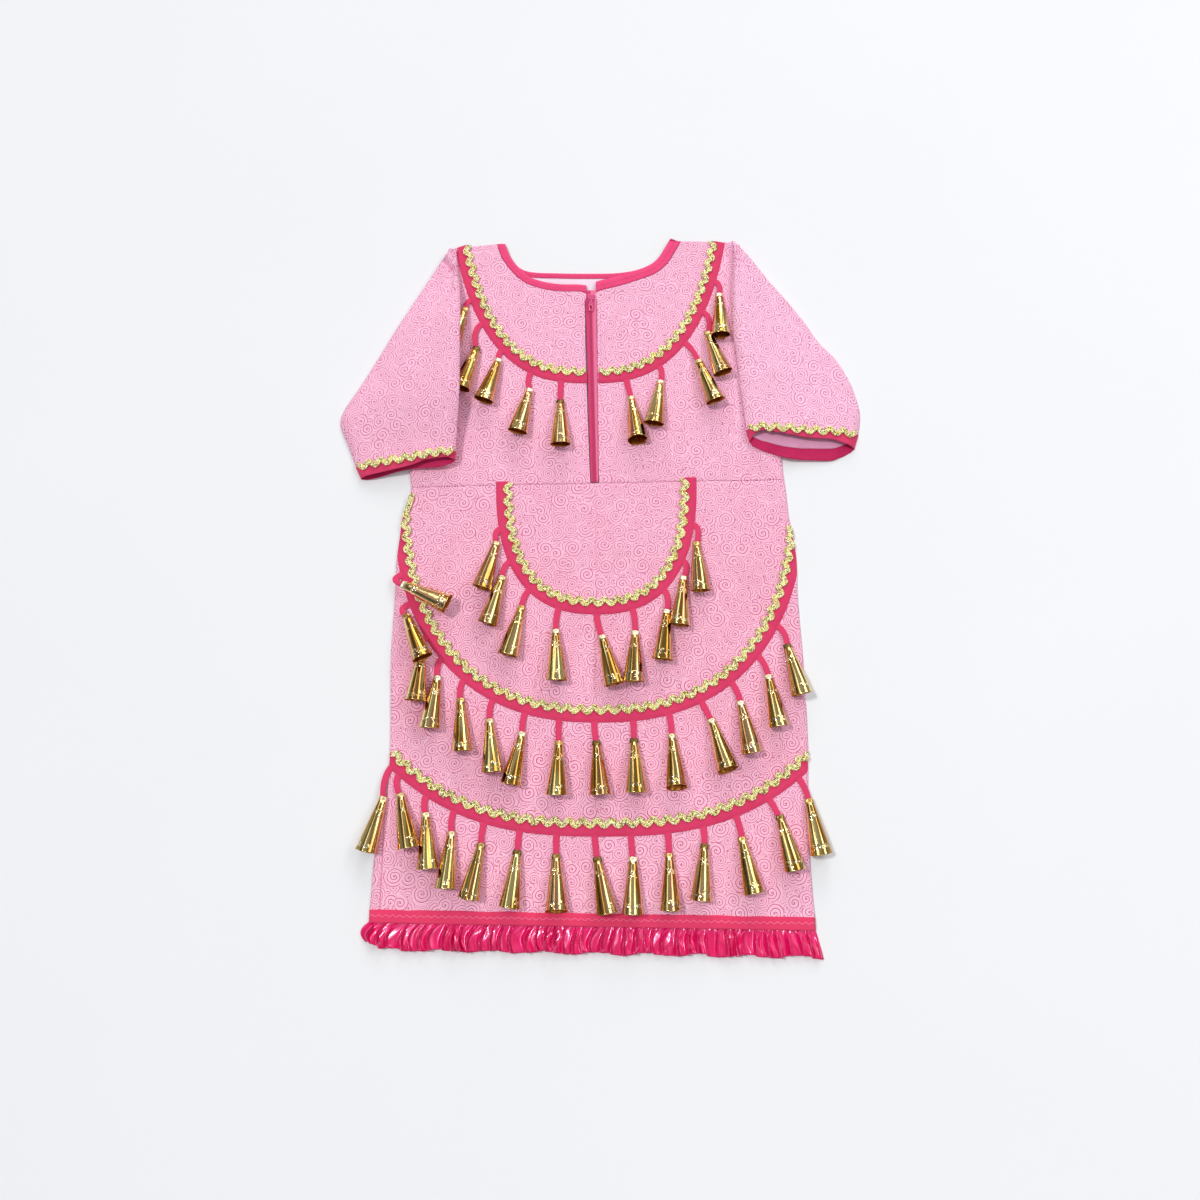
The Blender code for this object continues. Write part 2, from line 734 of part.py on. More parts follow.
def zip_tapes(collection):
    """Both tapes and the closed coil, in one bar down the centre front."""
    sections = []
    for y in stations(ZIP_FOOT_Y, ZIP_TOP_Y, 2 * WAVE):
        half, middle = zip_half(y)
        half -= SEAM
        base = max(front_under(middle - half, y), front_under(middle + half, y))
        profile = ((-half, 0), (half, 0), (half, TAPE), (COIL_HALF, TAPE),
                   (COIL_HALF - 0.6, TAPE + COIL_RISE), (0.6 - COIL_HALF, TAPE + COIL_RISE),
                   (-COIL_HALF, TAPE), (-half, TAPE))
        sections.append([(middle + x, y, base + z) for x, z in profile])
    bar("zip", sections, "zip_pink", collection)


def coil_top(y):
    half, middle = zip_half(y)
    return max(front_under(middle - half, y), front_under(middle + half, y)) + TAPE + COIL_RISE


def box(bm, low, high):
    made = bmesh.ops.create_cube(bm, size=1.0)["verts"]
    size = Vector(high) - Vector(low)
    bmesh.ops.scale(bm, vec=size, verts=made)
    bmesh.ops.translate(bm, vec=(Vector(high) + Vector(low)) / 2, verts=made)


def union(target, cutter):
    """Joins a cutter to a part by an exact Boolean, and drops the cutter."""
    modifier = target.modifiers.new("join", "BOOLEAN")
    modifier.operation = "UNION"
    modifier.object = cutter
    modifier.solver = "EXACT"


def zip_slider(collection, tools):
    """A channel over the coil, with two lugs that hold the pull's barrel."""
    y, half = SLIDER["y"], SLIDER["half_width"]
    length, plate = SLIDER["length"], SLIDER["plate"]
    top = coil_top(y) + SEAM
    _, middle = zip_half(y)
    inner = COIL_HALF + SEAM
    skirt = top - COIL_RISE + 0.1
    sections = []
    for along, narrow in ((-0.5, 0.9), (-0.3, 0.4), (0.35, 0.0), (0.5, 0.5)):
        outer = half - narrow if half - narrow > inner + 0.4 else inner + 0.4
        profile = ((-outer, skirt), (-inner, skirt), (-inner, top), (inner, top),
                   (inner, skirt), (outer, skirt), (outer, top + plate), (-outer, top + plate))
        sections.append([(middle + x, y + along * length, z) for x, z in profile])
    slider = bar("zip_slider", sections, "zip_metal", collection)
    pivot = top + plate + PULL["barrel"] + SEAM
    for number, side in enumerate((-1, 1), 1):
        bm = bmesh.new()
        near, far = PULL["half_barrel"] + SEAM, PULL["half_barrel"] + SEAM + 0.9
        low_x, high_x = sorted((middle + side * near, middle + side * far))
        box(bm, (low_x, y - 3.3, top + plate - 0.5), (high_x, y - 1.1, pivot + 1.0))
        lug = add_part(bm, f"lug_{number}", "zip_metal", tools)
        lug.hide_render = True
        lug.display_type = "WIRE"
        union(slider, lug)
    return Vector((middle, y - 2.2, pivot))


def zip_pull(pivot, collection):
    """A barrel between the lugs and a tab that slopes down on to the coil."""
    slope = math.radians(PULL["slope"])
    half, barrel, length = PULL["half_width"], PULL["barrel"], PULL["length"]
    thick = PULL["thickness"]
    sections = []
    for along, width, depth in ((-barrel, PULL["half_barrel"], 0.35), (0.0, PULL["half_barrel"], barrel),
                                (barrel * 1.6, PULL["half_barrel"], thick / 2),
                                (2.6, half, thick / 2), (length * 0.75, half, thick / 2),
                                (length * 0.93, half * 0.75, thick / 2), (length, half * 0.3, thick / 2)):
        y = -along * math.cos(slope)
        z = -along * math.sin(slope)
        sections.append([(-width, y, z - depth), (width, y, z - depth),
                         (width, y, z + depth), (-width, y, z + depth)])
    pull = bar("zip_pull", sections, "zip_metal", collection)
    pull.location = pivot * MM
    return pull


# ---------------------------------------------------------------- sleeves and cuffs

def sleeve_row(row, side, gathers=0.0):
    """One section: under layer out to the fold, then the upper layer back again."""
    in_x, in_y, in_z, out_x, out_y, out_z, room, bow_over, bow_under = row
    inner, outer = Vector((in_x, in_y)), Vector((out_x, out_y))
    under, over = [], []
    usable = 1 - FOLD_ROOM / abs(out_x - in_x)
    for index, step in enumerate(SLEEVE_STEPS):
        share = step * usable
        plan = inner.lerp(outer, share)
        bulge = 4 * share * (1 - share)
        base = between(in_z, out_z, share ** 1.3)
        edge_x = read_table(EDGES, plan.y, 1 if side < 0 else 2)
        if side * (plan.x - edge_x) < SLEEVE_CLEAR:
            base = max(base, SLEEVE_OVER)
        ripple = gathers * (1 if index % 2 else -1) if 0 < share < 0.9 else 0.0
        gap = between(SEAM, room, min(1.0, share * 4)) * (1 - 0.4 * share)
        low = Vector((plan.x, plan.y + bow_under * bulge, base + COTTON))
        high = Vector((plan.x, plan.y + bow_over * bulge, base + COTTON + gap + max(0.0, ripple)))
        under.append((low, -UP))
        over.append((high, UP))
    last_low, last_high = under[-1][0], over[-1][0]
    fold_in = Vector((outer.x - side * COTTON, outer.y, 0))
    turn = Vector((side, 0, 0))
    fold = [(Vector((fold_in.x, fold_in.y, last_low.z)), (turn - UP).normalized()),
            (Vector((fold_in.x, fold_in.y, last_high.z)), (turn + UP).normalized())]
    return under + fold + list(reversed(over))


def sleeve(name, table, side, collection):
    rows = []
    for index, row in enumerate(table):
        fade = max(0.0, 1 - index / 4) if index else 0.0
        rows.append(sleeve_row(row, side, CAP_GATHER_RISE * fade))
    cloth_wall(name, rows, COTTON, "cotton", collection)


def cuff_band(name, seam_row, end_row, side, collection):
    """Bias tape that carries the sleeve's end on past its seam."""
    start = nudge(seam_row, end_row, SEAM * 1.5)
    cloth_wall(name, [sleeve_row(start, side), sleeve_row(end_row, side)],
               COTTON, "tape", collection)


def nudge(row, towards, distance):
    """A section moved a little way along the sleeve."""
    run = abs(towards[1] - row[1])
    return tuple(between(a, b, distance / run) for a, b in zip(row, towards))


def cuff_braid(name, table, side, waves, collection):
    """Ric-rac over the cuff seam, on the upper layer only."""
    seam_row = table[-1]
    in_x, in_y, in_z, out_x, out_y, out_z, room, bow_over, _ = seam_row
    inner, outer = Vector((in_x, in_y)), Vector((out_x, out_y))
    run = (outer - inner).normalized()
    outward = Vector((run.y, -run.x)) * (1 if run.x > 0 else -1)
    tops = []
    for row in (seam_row, nudge(seam_row, table[-2], BRAID_SWING + BRAID_HALF)):
        over = sleeve_row(row, side)[-len(SLEEVE_STEPS):]
        tops.append(sorted((abs(point.x - in_x), point.z + COTTON) for point, _ in over))
    centres = []
    for step in range(2 * waves + 1):
        share = between(0.02, 0.965, step / (2 * waves))
        plan = inner.lerp(outer, share)
        plan.y += bow_over * 4 * share * (1 - share)
        height = max(read_table(top, abs(plan.x - in_x) + shift, 1)
                     for top in tops for shift in (-9, 0, 9))
        centres.append((plan, outward, height + CLEAR))
    bar(name, braid_sections(centres), "braid", collection)


# ---------------------------------------------------------------- hem

def hem_ring(lines, waves, thickness):
    """Rows of a flat ring: front from left to right, a fold, then the back."""
    rows = []
    for line, (y_of, flare, rise, lobe) in enumerate(lines):
        left = read_table(EDGES, hem_y(0), 1) - flare
        right = read_table(EDGES, hem_y(0), 2) + flare
        row = []
        count = 4 * waves if waves else 24
        for step in range(count + 1):
            share = step / count
            x = between(left, right, share)
            wave = 0.0
            if 0 < step < count:
                wave = rise * (1 + math.sin(math.pi * step / 2 + 0.6 * math.sin(step)))
            y = y_of(x) - lobe * (1 + math.cos(2 * math.pi * LOBES * share))
            floor = FRONT_FLOOR if waves else front_under(x, y)
            row.append((Vector((x, y, floor + wave)), UP))
        row.append((Vector((right + thickness, y_of(right), FRONT_FLOOR)), Vector((1, 0, 1))))
        row.append((Vector((right + thickness, y_of(right), COTTON)), Vector((1, 0, -1))))
        count = BACK_GATHERS if waves else 6
        for step in range(count + 1):
            share = 1 - step / count
            x = between(left, right, share)
            y = y_of(x) - lobe * (1 + math.cos(2 * math.pi * LOBES * share))
            row.append((Vector((x, y, thickness)), -UP))
        row.append((Vector((left - thickness, y_of(left), COTTON)), Vector((-1, 0, -1))))
        row.append((Vector((left - thickness, y_of(left), FRONT_FLOOR)), Vector((-1, 0, 1))))
        rows.append(row)
    return rows


def hem_band(collection):
    lines = ((lambda x: hem_y(x), 0.0, 0, 0), (lambda x: hem_y(x) - HEM_BAND, 0.0, 0, 0))
    cloth_wall("hem_band", hem_ring(lines, 0, TAPE), TAPE, "hem_tape", collection, closed=True)


def hem_ruffle(collection):
    top = HEM_BAND + SEAM
    lines = (
        (lambda x: hem_y(x) - top, 0.0, 0.5, 0.0),
        (lambda x: hem_y(x) - top - 0.3 * RUFFLE_DROP, 0.5 * RUFFLE_FLARE, 0.8 * GATHER_RISE, 0.0),
        (lambda x: hem_y(x) - top - RUFFLE_DROP, RUFFLE_FLARE, GATHER_RISE, LOBE_DEPTH),
    )
    rows = hem_ring(lines, FRONT_GATHERS, SATIN)
    cloth_wall("hem_ruffle", rows, SATIN, "satin", collection, closed=True)


# ---------------------------------------------------------------- the whole dress

def centre_on_surface(parts, tools):
    """Moves the dress so that its box stands over the origin, resting on z = 0."""
    bpy.context.view_layer.update()
    corners = [part.matrix_world @ vert.co for part in parts for vert in part.data.vertices]
    shift = Vector([-(min(c[i] for c in corners) + max(c[i] for c in corners)) / 2 for i in (0, 1)]
                   + [-min(c[2] for c in corners)])
    for part in parts + tools:
        part.location += shift


def main():
    for old in list(bpy.data.objects):
        bpy.data.objects.remove(old)
    dress = bpy.data.collections.new("jingle_dress")
    tools = bpy.data.collections.new("tools")
    for collection in (dress, tools):
        bpy.context.scene.collection.children.link(collection)

    bodice_back(dress)
    skirt_back(dress)
    bodice_front("bodice_front_left", BODICE_LEFT, dress)
    bodice_front("bodice_front_right", BODICE_RIGHT, dress)
    skirt_front("skirt_front_left", 1, CENTRE_SEAM_X - SEAM / 2, dress)
    skirt_front("skirt_front_right", 2, CENTRE_SEAM_X + SEAM / 2, dress)

    arcs = {name: Arc(*sizes) for name, sizes in ARCS.items()}
    yoke = arcs["yoke"]
    half, middle = zip_half(YOKE_ZIP_Y)
    zip_left = yoke.distance_at_x(middle - half - SEAM)
    zip_right = yoke.distance_at_x(middle + half + SEAM)
    spans = dict(yoke_left=(yoke, 0, zip_left), yoke_right=(yoke, zip_right, yoke.length))
    spans.update({name: (arcs[name], 0, arcs[name].length) for name in ("apron", "mid", "bottom")})
    for name, (arc, start, end) in spans.items():
        roots = [between(start, end, row[0]) for row in JINGLES[name]]
        marks = band_marks(start, end, roots)
        curved_band(f"band_{name}", arc, marks, dress)
        curved_braid(f"ricrac_{name}", arc, start + BRAID_SETBACK, end - BRAID_SETBACK, dress)
        jingle_row(f"jingles_{name}", arc, marks, roots, JINGLES[name], dress)

    neck_binding(dress)
    zip_tapes(dress)
    pivot = zip_slider(dress, tools)
    zip_pull(pivot, dress)

    for word, table, end, side in (("left", SLEEVE_LEFT, CUFF_LEFT_END, -1),
                                   ("right", SLEEVE_RIGHT, CUFF_RIGHT_END, 1)):
        sleeve(f"sleeve_{word}", table, side, dress)
        cuff_band(f"cuff_band_{word}", table[-1], end, side, dress)
        cuff_braid(f"ricrac_cuff_{word}", table, side, CUFF_WAVES, dress)

    hem_band(dress)
    hem_ruffle(dress)
    centre_on_surface(list(dress.objects), list(tools.objects))


main()
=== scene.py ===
"""Looks of a small child's jingle dress, laid flat on its back with its front up.

Sizes are in millimetres in the maker's own layout: +X is the right of the dress as seen from
above, +Y runs from the hem to the neck, +Z is up. They become metres where a mesh is made.
"""
import itertools
import math
import random
from bisect import bisect

import bmesh
import bpy
from mathutils import Matrix, Vector, noise


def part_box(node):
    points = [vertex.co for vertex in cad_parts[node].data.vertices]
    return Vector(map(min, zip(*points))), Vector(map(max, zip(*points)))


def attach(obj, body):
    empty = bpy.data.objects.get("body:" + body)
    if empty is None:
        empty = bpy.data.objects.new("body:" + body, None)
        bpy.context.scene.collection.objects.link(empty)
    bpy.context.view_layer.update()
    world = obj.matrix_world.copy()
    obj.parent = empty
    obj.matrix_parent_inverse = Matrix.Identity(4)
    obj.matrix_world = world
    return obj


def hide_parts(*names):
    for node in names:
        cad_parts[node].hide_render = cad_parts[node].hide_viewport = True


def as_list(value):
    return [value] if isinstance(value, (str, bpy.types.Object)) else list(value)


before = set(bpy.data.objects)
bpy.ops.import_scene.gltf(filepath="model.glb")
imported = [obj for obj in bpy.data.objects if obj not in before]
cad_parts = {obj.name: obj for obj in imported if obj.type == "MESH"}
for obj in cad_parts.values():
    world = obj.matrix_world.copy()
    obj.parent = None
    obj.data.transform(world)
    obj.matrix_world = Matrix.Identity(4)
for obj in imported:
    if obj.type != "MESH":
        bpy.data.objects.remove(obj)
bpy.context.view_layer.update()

MM = 0.001
UP = Vector((0, 0, 1))
TURN = 2 * math.pi

# ------------------------------------------------------------------ sizes of the dress

COTTON = 1.2  # the space that a layer of cotton takes up in the solids
SEAM = 0.3  # the space left between two layers or two edges
CLEAR = 0.5  # what trims stay above the cloth that carries them
FRONT_FLOOR = COTTON + SEAM
LOFT = 1.6  # how far the front rises off the back, past the turn of its side edges
ROUND_LENGTH = 4.8
CLOTH = 0.45  # walls of the cotton and of the tapes as they show
TAPE_WALL = 0.35

EDGES = (  # y, left, right
    (-316, -215, 201), (-280, -214, 199), (-245, -212, 198), (-193, -204, 199), (-140, -203, 201),
    (-60, -206, 200), (0, -205, 197.5), (40, -205, 198), (62, -203, 195.5), (84, -201, 192),
    (99, -196, 191), (118, -193, 189.5), (136, -196, 187), (240, -196, 190), (252, -182, 178),
    (270, -172, 167), (300, -166, 159), (330, -161, 154.5), (365, -157, 150), (392, -155.5, 143),
)
FOLDS = (  # x_from, y_from, x_to, y_to, half_width, height
    (150, 190, 188, 30, 26, -1.0), (172, 190, 196, 60, 24, 0.7), (-98, -67, -5, -36, 26, -1.0),
    (-90, -28, 20, 2, 26, 0.7), (103, 12, 172, -30, 24, -0.9), (-196, 70, -160, 10, 24, -0.8),
    (-60, -190, -80, -300, 26, 0.7), (90, -150, 105, -300, 28, 0.7),
    (-165, -120, -150, -290, 26, -0.8), (60, 150, 20, 60, 28, 0.7),
)
CREASES = (  # x_from, y_from, x_to, y_to, half_width, height
    (150, 176, 176, 96, 7, -0.7), (158, 172, 188, 110, 6, 0.6), (-150, 150, -172, 60, 8, -0.6),
    (-42, 330, -20, 322, 7, -0.5), (2, 326, 34, 334, 7, -0.5), (-108, -62, -60, -52, 7, -0.6),
    (-62, -50, -14, -46, 8, 0.5), (-196, -140, -204, -240, 9, -0.6),
    (-176, -246, -130, -262, 9, -0.5), (96, -232, 104, -292, 7, 0.4),
    (-84, -226, -70, -290, 8, -0.4), (150, -210, 156, -290, 8, -0.5), (100, 90, 150, 60, 9, -0.4),
)
WAIST = (122.0, 0.022)  # y in the middle, and its rise with x
HEM = (-302.0, -0.017)
CENTRE_SEAM_X = -4.0
SIDE_SEAM = (-204.5, -172, -205.8, -303)
SIDE_SEAM_X = -205.2
SEAM_HALF = 1.3
SEAM_DEPTH = 0.55
SIDE_SEAM_DEPTH = 1.3
PUCKER = 0.32
PUCKER_REACH = 30

BODICE_LEFT = (  # side_x, side_y, centre_x, centre_y
    (-193, 117.95, -9.9, 121.98), (-195.5, 140, -11.0, 146), (-196, 172, -12.4, 182),
    (-196, 210, -13.8, 222), (-196, 238, -15.0, 256), (-178, 258, -15.6, 280),
    (-168, 286, -16.0, 305), (-163, 312, -16.4, 325), (-160.2, 334, -16.6, 338.0),
    (-158.6, 350, -43, 339.4), (-157.6, 360, -62, 342.6), (-156.8, 369, -79, 349.0),
    (-156.4, 378, -93, 361), (-156, 386, -105, 377.5), (-155.5, 391.5, -112, 396),
)
BODICE_RIGHT = (  # side_x, side_y, centre_x, centre_y
    (189, 126.38, -1.1, 122.16), (187.5, 150, -1.4, 146), (188.5, 178, -1.8, 182),
    (189.5, 212, -2.2, 222), (190, 238, -2.5, 256), (173, 259, -2.7, 280), (163, 285, -2.9, 305),
    (157, 312, -3.0, 327), (153.5, 335, -3.1, 338.6), (151.8, 350, 22, 346.4),
    (150.5, 361, 43, 353.6), (149, 371, 60, 361), (147.5, 380, 72.5, 372.5),
    (145.5, 390, 81, 386.5), (143.0, 398.8, 88, 399.6),
)
BINDINGS = dict(left=8.8, back=6.4, right=12.0)
FRONT_NECK_FROM = 8
BINDING_ENDS = dict(left=(-14.4, 347.4), right=(-4.6, 351.5))  # x, y at the zip
BACK_NECK = (  # x, y, of the upper edge
    (-104.5, 397.5), (-98, 384), (-88, 371), (-74, 364.8), (-45, 363.4), (-14, 363), (20, 363.8),
    (44, 369), (62, 380), (75.5, 397.5),
)
ZIP_FOOT_Y = 123.2
ZIP_TOP_Y = 338.0
ZIP_LEFT_X = (-9.6, -16.3)  # at its foot and at its top
ZIP_RIGHT_X = (-1.4, -3.3)
YOKE_ZIP_Y = 235.0
SLIDER_Y = 331.0

ARCS = dict(  # centre_x, centre_y, half_width, depth, fullness, top_left_y, top_right_y
    yoke=(-11.1, 600.0, 159.6, 367.3, 2.67, 392.5, 397.5),
    apron=(-3.7, 128.6, 102.6, 144.5, 2.48, 123.6, 128.2),
    mid=(-1.2, 131.8, 210.2, 255.4, 2.38, 112.0, 122.0),
    bottom=(0.6, 600.0, 372.0, 831.6, 2.69, -160.0, -170.0),
)
ARC_STEPS = 1500
BAND = 12.5
WAVE = 13.6
CONE = dict(length=52.0, top=3.4, neck=3.2, mouth=9.6, lap_step=0.42)
CONE_CRIMP = (0.06, 0.13)
CONE_FLATS = (3, 5, 7)
CONE_SHEET = 60.0
JINGLES = dict(  # share of the band's length, loop length, loop lean, cone lean, any lift
    yoke_left=(
        (0.28, 11, -19, -16), (0.41, 28, -6, -18), (0.57, 10, -6, -16), (0.74, 19, 1, -13),
        (0.885, 22, -2, 1),
    ),
    yoke_right=(
        (0.125, 20, 13, 7), (0.29, 17, 2, -9), (0.455, 24, 30, 19), (0.63, 24, 5, 17),
        (0.795, 16, 10, 0),
    ),
    apron=(
        (0.128, 14, -6, -15), (0.219, 16, -20, -15), (0.309, 17, -19, -14), (0.399, 21, -7, 2),
        (0.495, 22, 13, 14), (0.586, 22, 5, -2), (0.681, 20, 4, -6), (0.772, 16, -5, -6),
        (0.872, 19, 3, 3),
    ),
    mid=(
        (0.122, 11, 13, 65, 3.4), (0.165, 12, -8, 24, 10.5), (0.218, 12, -10, -4),
        (0.255, 17, -7, -6), (0.298, 17, -5, 4), (0.346, 18, -7, 5), (0.393, 18, -5, -11),
        (0.44, 20, 1, -2), (0.487, 18, 6, 4), (0.539, 17, 1, 2), (0.588, 19, 5, 4),
        (0.635, 18, 26, 16), (0.684, 19, 21, 10), (0.736, 20, 23, 9), (0.787, 20, 20, 13),
    ),
    bottom=(
        (0.025, 27, -9, -15, -2.9), (0.049, 17, 10, 13), (0.125, 15, 3, 5), (0.194, 18, -2, -4),
        (0.264, 18, -4, -11), (0.343, 17, -5, -7), (0.422, 17, 1, 1), (0.504, 19, 6, 10),
        (0.581, 19, 5, -1), (0.66, 18, 2, 0), (0.737, 15, 2, -6), (0.812, 19, 12, 10),
        (0.893, 16, 29, 13), (0.973, 20, 22, 10, -2.9),
    ),
)
BAND_ENDS = dict(mid=(112.0, 76.0), bottom=(-144.0, -154.0))  # left_y, right_y at the sides
TRIM_LIFT = 3.4
BEND = 0.4
BEND_OVER_BAND = 14.0

SLEEVE_LEFT = (  # in_x, in_y, in_z, out_x, out_y, out_z, room, over, under
    (-155.2, 389.5, 5.0, -162.5, 386.5, 4.6, 0.5, 0, 0),
    (-153.6, 374, 6.0, -177, 364, 3.0, 1.6, 0, 0), (-151.2, 358, 7.6, -188, 345, 1.5, 2.6, 0, 0),
    (-148.2, 335, 14.0, -204, 318, 0.5, 3.2, 0, 0),
    (-146.0, 308, 23.0, -219.5, 291, 0.0, 3.2, 0, 0),
    (-145.0, 278, 26.0, -234.5, 262, 0.0, 3.2, 0, 0),
    (-144.0, 246, 26.0, -251, 231, 0.0, 3.2, 0, 0), (-143.8, 215, 25.0, -265, 207, 0.0, 3.2, 0, 0),
    (-145.0, 188.5, 20.0, -270, 188, 0.0, 3.2, 0, 0),
    (-146.2, 166.5, 15.5, -259.5, 161, 0.0, 3.4, 0, 0.3),
    (-146.8, 151.5, 13.5, -250.8, 138.8, 0.0, 3.5, 0.2, 0.8),
)
SLEEVE_RIGHT = (  # in_x, in_y, in_z, out_x, out_y, out_z, room, over, under
    (141.8, 396.9, 5.0, 147.5, 394.8, 4.8, 0.6, 0, 0),
    (143.6, 379, 5.6, 168.5, 368.5, 3.0, 1.6, 0, 0), (141.6, 358, 6.2, 182, 352, 0.5, 2.6, 0, 0),
    (139.6, 335, 6.4, 198.5, 332, 0.0, 3.2, 0, 0), (139.6, 308, 6.4, 217, 306, 0.0, 3.2, 0, 0),
    (141.4, 280, 6.4, 232, 281, 0.0, 3.2, 0, 0), (144.0, 250, 6.4, 248.5, 262, 0.0, 3.2, 0, 0),
    (146.4, 222, 6.4, 260.5, 240, 0.0, 3.2, 0, 0), (148.4, 202, 6.5, 267, 221, 0.0, 3.2, 0.1, 0.3),
    (149.8, 188, 6.6, 271, 199, 0.0, 3.4, 0.2, 0.7),
    (150.8, 177, 6.6, 267.6, 174, 0.0, 3.6, 0.32, 1),
)
CUFF_LEFT_END = (-147.6, 143.5, 12.0, -245.5, 127.5, 0.0, 3.5, 1, 1)
CUFF_RIGHT_END = (153.5, 166, 6.6, 263, 160, 0.0, 3.8, 1, 1)
CUFF_EDGES = dict(  # share from the inner corner, rise of the upper and under layers' edges
    left=((0, 0, 0), (0.05, 2.2, -2), (0.1, 3.4, -2.8), (0.21, 4.4, -3), (0.33, 4.2, -1.2),
          (0.42, 2.4, 0), (0.5, 1.5, 0.4), (0.65, 0.8, 0), (0.8, 0.4, -1.6), (0.93, 0.2, -1.6),
          (1, 0, 0)),
    right=((0, 0, 0), (0.04, 7, -4), (0.13, 11.5, -8.8), (0.36, 8.5, -15.2), (0.59, 6.9, -15),
           (0.78, 7.1, -13.6), (0.9, 3.8, -7.8), (0.97, 1.5, -3), (1, 0, 0)),
)
SLEEVE_OVER = 6.5
SLEEVE_CLEAR = 28.0
SLEEVE_CROWD = 0.75
CAP_GATHERS = dict(low_y=330, high_y=366, depth=2.0, pitch=6.2, reach=13)
CUFF_SWELL = 0.5
CUFF_WAVES = 8

HEM_BAND = 11.5
HEM_CROWN = ((0, -0.35), (0.03, 0.15), (0.12, 0.3), (0.5, 0.35), (0.88, 0.3), (0.97, 0.1),
             (1, -0.3))
RUFFLE_DROP = 23.0
RUFFLE_FLARE = 4.5
FRONT_GATHERS = 45
LOBES = 9

# The frame stands under the middle of the dress, and the layout doesn't: the zip says how far
zip_low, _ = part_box("zip")
SHIFT = Vector((zip_low.x / MM - (ZIP_LEFT_X[1] + SEAM), zip_low.y / MM - ZIP_FOOT_Y, 0))

BODICE_FRONTS = ["front_bodice_left", "front_bodice_right"]
SKIRT_FRONTS = ["front_skirt_left", "front_skirt_right"]


# ------------------------------------------------------------------ places and heights

def between(a, b, share):
    return a + (b - a) * share


def ease(value, low, high):
    """0 below low, 1 above high, and smooth between."""
    share = min(1.0, max(0.0, (value - low) / (high - low)))
    return share * share * (3 - 2 * share)


def hump(distance, half_width):
    return math.exp(-(distance / half_width) ** 2)


def crowd(share, ends):
    """Draws shares towards both ends, so that the cells are finer along edges."""
    return between(share, 0.5 - 0.5 * math.cos(math.pi * share), ends)


def uncrowd(share, ends):
    """The share that crowd turns into the given one."""
    low, high = 0.0, 1.0
    for _ in range(30):
        half = (low + high) / 2
        low, high = (half, high) if crowd(half, ends) < share else (low, half)
    return (low + high) / 2


def wander(*place):
    """Smooth noise from -1 to 1 at up to three coordinates."""
    return noise.noise(Vector((*place, 0, 0))[:3])


def curve_through(before, a, b, after, share):
    """A Catmull-Rom curve's value between a and b."""
    return 0.5 * (2 * a + (b - before) * share
                  + (2 * before - 5 * a + 4 * b - after) * share ** 2
                  + (3 * a - before - 3 * b + after) * share ** 3)


def row_at(table, position):
    """A table's row at a position counted in rows, on a smooth curve between them."""
    last = len(table) - 1
    index = min(last - 1, max(0, int(position)))
    rows = [table[min(last, max(0, index + step))] for step in (-1, 0, 1, 2)]
    return [curve_through(*values, position - index) for values in zip(*rows)]


def read(table, key):
    """A table's row at a value of its first column, held past its ends."""
    if key <= table[0][0]:
        return table[0]
    for index, (low, high) in enumerate(zip(table, table[1:])):
        if key <= high[0]:
            return row_at(table, index + (key - low[0]) / (high[0] - low[0]))
    return table[-1]


def side_edges(y):
    _, left, right = read(EDGES, y)
    return left, right


def waist_y(x):
    return WAIST[0] + WAIST[1] * x


def hem_y(x):
    return HEM[0] + HEM[1] * x


def stations(start, end, spacing):
    count = max(2, round((end - start) / spacing))
    return [between(start, end, step / count) for step in range(count + 1)]


def distances(points, start=0.0):
    """How far has been travelled at each of a row of points."""
    steps = [(b - a).length for a, b in zip(points, points[1:])]
    return list(itertools.accumulate(steps, initial=start))


def runs(points):
    """Which way a row of points goes at each of them, from its two neighbours."""
    last = len(points) - 1
    return [points[min(last, index + 1)] - points[max(0, index - 1)] for index in range(last + 1)]


def rightward(run):
    """Level unit direction to the right of a run in plan."""
    run = run.normalized()
    return Vector((run.y, -run.x))


def distance_to(x, y, x1, y1, x2, y2):
    """Distance from a point to the stretch between two points."""
    run_x, run_y = x2 - x1, y2 - y1
    along = ((x - x1) * run_x + (y - y1) * run_y) / (run_x ** 2 + run_y ** 2)
    along = min(1.0, max(0.0, along))
    return math.hypot(x - x1 - run_x * along, y - y1 - run_y * along)


def folds_height(table, x, y):
    total = 0.0
    for *line, half_width, height in table:
        distance = distance_to(x, y, *line)
        if distance < 3 * half_width:
            total += height * hump(distance, half_width)
    return total


def seam_groove(x, y):
    """How far the cloth is drawn down along the seams, with the puckers beside them."""
    down = 0.0
    centre = x - CENTRE_SEAM_X if y < waist_y(0) else 99
    waist, side = y - waist_y(x), distance_to(x, y, *SIDE_SEAM)
    for gap, along, depth in ((waist, x, SEAM_DEPTH), (centre, y, SEAM_DEPTH),
                              (side, y, SIDE_SEAM_DEPTH)):
        gap = abs(gap)
        if gap < PUCKER_REACH:
            pucker = PUCKER * wander(along / 5.5, gap / 40, 4) * math.exp(-gap / 9)
            down += depth * hump(gap, SEAM_HALF) - pucker
    return down


def side_inset(x, y):
    left, right = side_edges(y)
    return max(0.0, min(x - left, right - x))


def cloth_z(x, y):
    """Top of the front cloth, rounded down at the side edges."""
    inset = side_inset(x, y)
    rounding = 1 - math.exp(-inset / ROUND_LENGTH)
    relief = 0.8 * wander(x / 46, y / 46, 1) + 0.2 * wander(x / 15, y / 15, 2)
    relief += 1.3 * folds_height(FOLDS, x, y) + folds_height(CREASES, x, y) - seam_groove(x, y)
    turned_under = 1.15 * math.exp(-inset / 0.8)
    return FRONT_FLOOR + COTTON - turned_under + rounding * (LOFT + relief)


